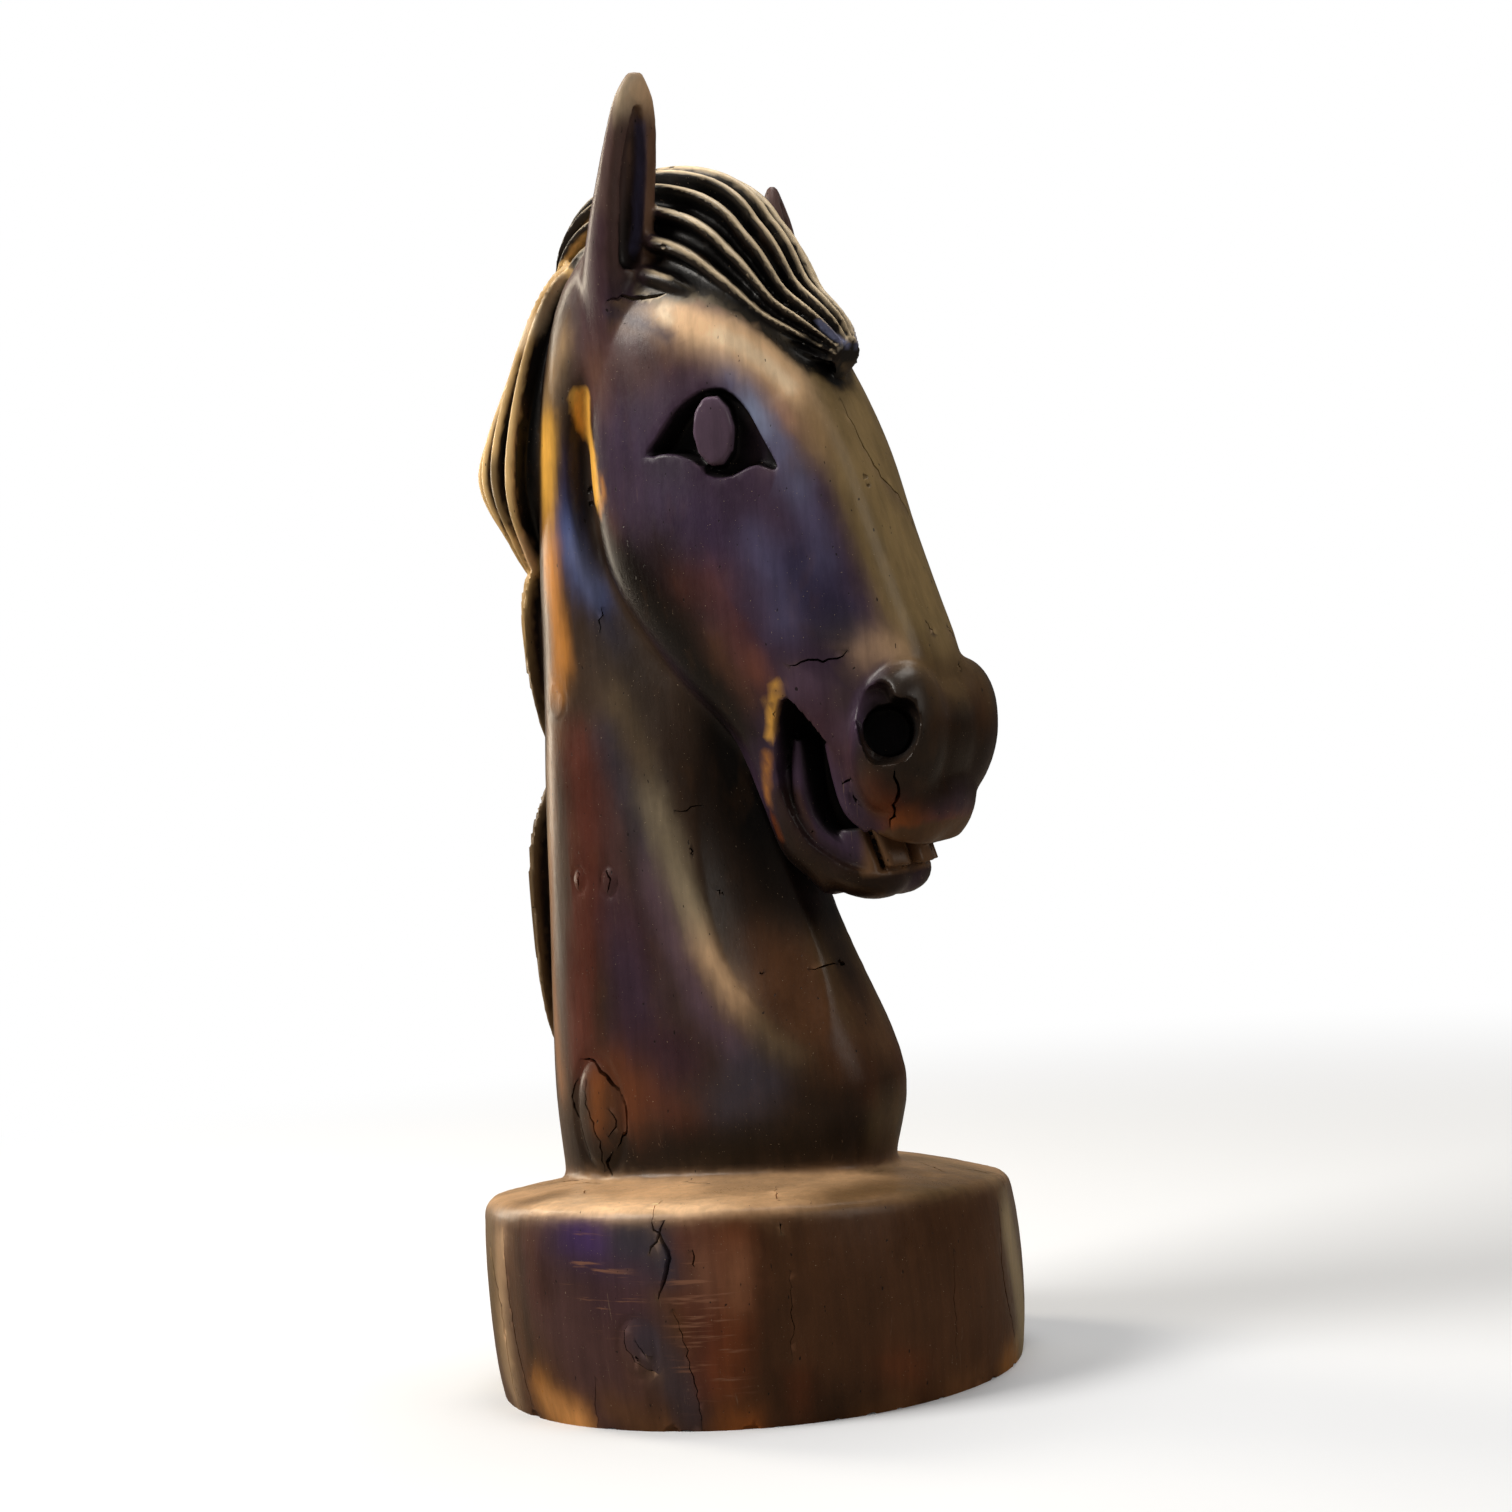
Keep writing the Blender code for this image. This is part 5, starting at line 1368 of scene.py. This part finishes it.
def stain_hair(colours, points, normals, zone):
    """Black between the strands, mostly painted shade, and paler on their sides and crests, partly
    painted light. It adds the zone of the hair.
    """
    height = points[:, 2]
    lit = ramp(normals[:, 2] + LIT_AHEAD * normals[:, 0], *LIT)
    zone["hair"] = np.zeros(len(points))
    for rows, outward, lock in LOCKS:
        depth, beside = lock_depth(points, rows, outward)
        hair = beside * (1 - zone["ear"]) * (height > HAIR_ABOVE)
        sides, crests = hair * ramp(depth, *STRAND_SIDES), hair * ramp(depth, *STRAND_CRESTS)
        shown, bright = 1, MANE_CREST_STRENGTH
        if lock == "forelock":
            shown, bright = UNLIT_SIDES + (1 - UNLIT_SIDES) * lit, lit
        colours = blend(colours, tone("hair_black"), hair)
        colours = blend(colours, tone(lock + "_side"), sides * SIDE_STRENGTH * shown)
        colours = blend(colours, tone(lock + "_crest"), crests * bright)
        if lock == "mane":
            foot = 1 - ramp(height, *MANE_FOOT_FADE)
            colours = blend(colours, tone("mane_foot"), MANE_FOOT_STRENGTH * hair * foot)
        zone["hair"] = np.maximum(zone["hair"], hair)
    return colours


def hollow_shade_of(sky, near):
    """How much painted shade each vertex takes, by what it sees of the sky."""
    spots = np.zeros(len(near))
    for centre, reach in SHADED_HOLLOWS:
        spots = np.maximum(spots, 1 - ramp(distance_from(near, [centre]), reach * SPOT_CORE, reach))
    full, none = (sky_share + more * spots for sky_share, more in zip(SHADED_SKY, SHADED_SKY_IN_SPOTS))
    return 1 - ramp(sky, full, none)


def brushed_of(points, skin):
    """How strongly each vertex is brushed across the grain."""
    brushed = np.zeros(len(points))
    for reach, pixels in BRUSHED:
        away = distance_from(points, on_wood(skin, pixels))
        brushed = np.maximum(brushed, 1 - ramp(away, reach * BRUSHED_CORE, reach))
    return brushed


def write_attribute(obj, name, values):
    layer = obj.data.attributes.new(name, "FLOAT_COLOR", "POINT")
    values = np.hstack([np.clip(values, 0, 1), np.ones((len(values), 1))])
    layer.data.foreach_set("color", values.astype(np.float32).ravel())


def stain(obj):
    """Lays the stains, the painted shade of the hollows and the wear and painted sheen of the edges on
    the vertices.
    """
    points, normals = figure_points(obj), outward_of(obj)
    edges, counts = edge_table(obj)
    skin = skin_tree(obj)
    near = np.stack([points[:, 0], -np.abs(points[:, 1]), points[:, 2]], 1)
    zone = zones(points, normals, near)
    wander = 0
    for reach, size, stretch in STAIN_WANDER:
        wander = wander + reach * clouds(points, size, WANDER_SEED + size, stretch)
    colours = np.tile(tone("umber"), (len(points), 1))
    colours = lay(colours, STAINS, points, zone, wander, skin)
    colours = soak(colours, edges, counts)
    colours = stain_hair(colours, points, normals, zone)
    bend = curvature(points, normals, edges, counts)
    sky = even_out(openness(obj, normals), edges, counts)
    hollow_shade = hollow_shade_of(sky, near)
    # Painted shade: darker where the wood sees little sky, and in creases
    colours = blend(colours, tone("shade_black"), HOLLOW_SHADE_STRENGTH * hollow_shade)
    colours = blend(colours, tone("shade_black"), CREASE_SHADE_STRENGTH * ramp(-bend, *CREASES))
    # Wear with painted sheen: paler on ridges that see the sky, less on the hair
    wear_and_sheen = ramp(bend, *WORN_LIT_RIDGES) * ramp(sky, *WORN_LIT_SKY) * (1 - HAIR_SPARED * zone["hair"])
    colours = blend(colours, colours * WORN_LIT_GAIN + WORN_LIT_LIFT, WEAR_AND_SHEEN_STRENGTH * wear_and_sheen)
    colours = lay(colours, TOUCHES, points, zone, wander * TOUCH_WANDER, skin)
    write_attribute(obj, "stain", colours)
    # The state holds the painted shade of the hollows, which the finish makes rougher, and the brushing
    write_attribute(obj, "state", np.stack([hollow_shade, brushed_of(points, skin), np.zeros(len(hollow_shade))], 1))


# Noise of the finish: scale, stretch, detail, roughness and distortion
NOISES = {
    "grain": (240, (1, 1, 0.045), 4, 0.6, 0.4),
    "broad": (46, (1, 1, 0.22), 3, 0.55, 0.6),
    "blotch": (24, (1, 1, 0.7), 4, 0.6, 0),
    "strokes": (420, (0.07, 0.07, 1), 3, 0.65, 0),
    "fine": (900, (1, 1, 0.35), 2, 0.5, 0),
    "warmth": (60, (1, 1, 0.4), 3, 0.6, 0),
    "scuffs": (300, (1, 1, 0.12), 5, 0.7, 1.2),
    "dust": (1500, (1, 1, 1), 1, 0.4, 0),
    "pits": (620, (1, 1, 0.5), 1, 0.4, 0),
}
NOISE_SPAN = (0.3, 0.7)  # most of a noise lies between these

# Brightness of the stain: a span of the noise and the factors at the span's ends
SHADES = {
    "grain": (NOISE_SPAN, (0.90, 1.10)), "broad": (NOISE_SPAN, (0.94, 1.06)),
    "blotch": ((0.32, 0.68), (0.80, 1.20)),
}

# Colours over the stain: the span of the noise where one comes in, its most strength, the colour
FLAWS = {
    "strokes": ((0.55, 0.66), 0.75, (0.30, 0.14, 0.085, 1)),
    "warmth": ((0.56, 0.72), 0.10, (0.16, 0.07, 0.025, 1)),
    "scuffs": ((0.64, 0.70), 0.35, (0.33, 0.22, 0.15, 1)),
    "dust": ((0.775, 0.80), 0.6, (0.55, 0.43, 0.30, 1)),
    "pits": ((0.755, 0.79), 0.8, (0.006, 0.004, 0.003, 1)),
}
SCUFFED_BLOTCHES = (0.5, 0.62)  # the blotches where scuffs come in

# Roughness at the ends of NOISE_SPAN and in hollows of full painted shade, then the height of the bumps
ROUGHNESS = {"blotch": (0.30, 0.44), "fine": (-0.04, 0.05)}
ROUGHER_IN_HOLLOWS = 0.22
BUMPS = {"grain": 0.35, "fine": 0.25, "broad": 0.9, "pits": -0.8}
BUMP = {"Strength": 0.35, "Distance": 0.0006}
LACQUER = {"Specular IOR Level": 0.22, "Coat Weight": 0.08, "Coat Roughness": 0.2}


def fill(tree, node, inputs):
    """Gives a node's sockets their values, or links them to the sockets given."""
    for name, value in inputs.items():
        if isinstance(value, bpy.types.NodeSocket):
            tree.links.new(value, node.inputs[name])
        else:
            node.inputs[name].default_value = value


def new_node(tree, kind, output, inputs, **settings):
    """The output of a new shader node."""
    node = tree.nodes.new("ShaderNode" + kind)
    for name, value in settings.items():
        setattr(node, name, value)
    fill(tree, node, inputs)
    return node.outputs[output]


def new_material(name):
    material = bpy.data.materials.new(name)
    material.use_nodes = True
    return material, material.node_tree, material.node_tree.nodes["Principled BSDF"]


def make_finish():
    """Lacquered wood: the stain of the vertices, with its painted light and shade, under grain, brush
    marks, dust and pits.
    """
    material, tree, shader = new_material("stained_wood_carved")
    add = partial(new_node, tree)
    where = add("TexCoord", "Object", {})

    def noise_of(scale, stretch, detail, roughness, distortion):
        there = add("Mapping", "Vector", {"Vector": where, "Scale": stretch})
        look = {"Scale": scale, "Detail": detail, "Roughness": roughness, "Distortion": distortion}
        return add("TexNoise", "Fac", {"Vector": there, **look})

    def remap(value, span, to):
        ends = {"From Min": span[0], "From Max": span[1], "To Min": to[0], "To Max": to[1]}
        return add("MapRange", "Result", {"Value": value, **ends}, interpolation_type="SMOOTHSTEP")

    def reckon(operation, a, b):
        return add("Math", "Value", {0: a, 1: b}, operation=operation)

    def mix(share, a, b):
        node = tree.nodes.new("ShaderNodeMix")
        node.data_type = "RGBA"
        sockets = {socket.identifier: k for k, socket in enumerate(node.inputs)}
        fill(tree, node, {sockets["Factor_Float"]: share, sockets["A_Color"]: a, sockets["B_Color"]: b})
        return next(socket for socket in node.outputs if socket.identifier == "Result_Color")

    of_vertices = partial(add, "Attribute", "Color", {})
    parts = tree.nodes.new("ShaderNodeSeparateColor")
    fill(tree, parts, {"Color": of_vertices(attribute_name="state")})
    # Red is where the hollows take painted shade, green where the wood is brushed
    hollow_shade, brushed = parts.outputs["Red"], parts.outputs["Green"]
    noises = {name: noise_of(*row) for name, row in NOISES.items()}
    shade = 1
    for name, (span, shades) in SHADES.items():
        shade = reckon("MULTIPLY", shade, remap(noises[name], span, shades))
    shaded = {0: of_vertices(attribute_name="stain"), "Scale": shade}
    colour = add("VectorMath", "Vector", shaded, operation="SCALE")
    limits = {"strokes": brushed, "scuffs": remap(noises["blotch"], SCUFFED_BLOTCHES, (0, 1))}
    heights = dict(noises)
    for name, (span, most, flaw) in FLAWS.items():
        share = remap(noises[name], span, (0, most))
        if name in limits:
            share = reckon("MULTIPLY", share, limits[name])
        colour = mix(share, colour, flaw)
        heights[name] = share
    rough = height = 0
    for name, to in ROUGHNESS.items():
        rough = reckon("ADD", rough, remap(noises[name], NOISE_SPAN, to))
    rough = reckon("ADD", rough, reckon("MULTIPLY", hollow_shade, ROUGHER_IN_HOLLOWS))
    for name, rise in BUMPS.items():
        height = reckon("ADD", height, reckon("MULTIPLY", heights[name], rise))
    bump = add("Bump", "Normal", {**BUMP, "Height": height})
    fill(tree, shader, {"Base Color": colour, "Roughness": rough, "Normal": bump, **LACQUER})
    return material


# Stage, in metres
FLOOR_SIZE = 8.0
FLOOR_FADE = {"From Min": 0.5, "From Max": 1.2}  # where it turns into plain white, from the sculpture
WHITE = (1, 1, 1, 1)
BOUNCE = (0.22, 0.19, 0.16, 1)  # the floor as the sculpture sees it
FLOOR_LOOK = {
    "Base Color": (0.84, 0.87, 0.92, 1), "Roughness": 0.9, "Specular IOR Level": 0.1,
    "Emission Color": WHITE, "Emission Strength": 0.03,
}
SKY = {"Color": (1, 0.96, 0.9, 1), "Strength": 0.10}  # what lights the shadows
SENSOR = 36.0  # width, in millimetres
NEAREST_SEEN = 0.01  # in metres from the camera

# Lights: place, power, sides, colour and what they shine on
LIGHTS = {
    "key": ((-0.9, -1.1, 1.6), 33, (0.9, 0.9), (1, 0.95, 0.88), (0, 0, 0.25)),
    "top": ((0.1, 0.3, 1.7), 13, (0.9, 0.9), (1, 0.97, 0.92), (0, 0, 0.3)),
    "left_strip": ((-1.3, 0.1, 0.7), 11, (0.3, 1.2), (1, 0.88, 0.70), (-0.05, 0, 0.3)),
    "right_fill": ((1.5, -0.2, 0.9), 5.5, (0.9, 0.9), (1, 0.95, 0.88), (0, 0, 0.3)),
}


def seen_as(tree, to_camera, to_wood, output):
    """Shows the camera one shader and the sculpture another."""
    camera_ray = new_node(tree, "LightPath", "Is Camera Ray", {})
    both = new_node(tree, "MixShader", "Shader", {0: camera_ray, 1: to_wood, 2: to_camera})
    tree.links.new(both, tree.nodes[output].inputs["Surface"])


def make_floor():
    """Pale to look at, and darker to the light that it throws back on the lacquer."""
    bm = bmesh.new()
    bmesh.ops.create_grid(bm, x_segments=1, y_segments=1, size=FLOOR_SIZE)
    floor = new_object("floor", bm)
    material, tree, shader = new_material("pale_floor")
    fill(tree, shader, FLOOR_LOOK)
    add = partial(new_node, tree)
    far = add("VectorMath", "Value", {0: add("TexCoord", "Object", {})}, operation="LENGTH")
    fade = add("MapRange", "Result", {"Value": far, **FLOOR_FADE}, interpolation_type="SMOOTHSTEP")
    white = add("Emission", "Emission", {"Color": WHITE})
    seen = add("MixShader", "Shader", {0: fade, 1: shader.outputs["BSDF"], 2: white})
    seen_as(tree, seen, add("BsdfDiffuse", "BSDF", {"Color": BOUNCE}), "Material Output")
    floor.data.materials.append(material)
    return floor


def make_world():
    """White behind the scene, and a dimmer sky that lights it."""
    world = bpy.data.worlds.new("studio")
    bpy.context.scene.world = world
    world.use_nodes = True
    tree = world.node_tree
    sky = tree.nodes["Background"]
    fill(tree, sky, SKY)
    white = new_node(tree, "Background", "Background", {"Color": WHITE})
    seen_as(tree, white, sky.outputs["Background"], "World Output")


def make_lights():
    for name, (spot, power, sides, colour, target) in LIGHTS.items():
        data = bpy.data.lights.new(name, "AREA")
        data.energy, data.color = power, colour
        data.shape = "RECTANGLE"
        data.size, data.size_y = sides
        light = bpy.data.objects.new(name, data)
        light.location = spot
        light.rotation_euler = (Vector(target) - Vector(spot)).to_track_quat("-Z", "Y").to_euler()
        bpy.context.scene.collection.objects.link(light)


def make_camera():
    data = bpy.data.cameras.new("camera")
    data.sensor_fit = "HORIZONTAL"
    data.sensor_width = SENSOR
    data.lens = PHOTO_FOCAL / PHOTO_WIDTH * SENSOR
    data.clip_start = NEAREST_SEEN
    camera = bpy.data.objects.new("camera", data)
    bpy.context.scene.collection.objects.link(camera)
    spot, right, up, ahead = photo_view()
    axes = Matrix((right, up, -ahead)).transposed()
    camera.matrix_world = Matrix.Translation(spot) @ axes.to_4x4()
    bpy.context.scene.camera = camera


def make_stage():
    make_floor()
    make_world()
    make_lights()
    bpy.context.scene.view_settings.view_transform = "Standard"


horse = carve_horse()
stain(horse)
horse.data.shade_smooth()
horse.data.set_sharp_from_angle(angle=math.radians(SHARP_ANGLE))
horse.data.materials.append(make_finish())
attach(horse, "root")
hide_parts("horse_sculpture")
make_stage()
make_camera()
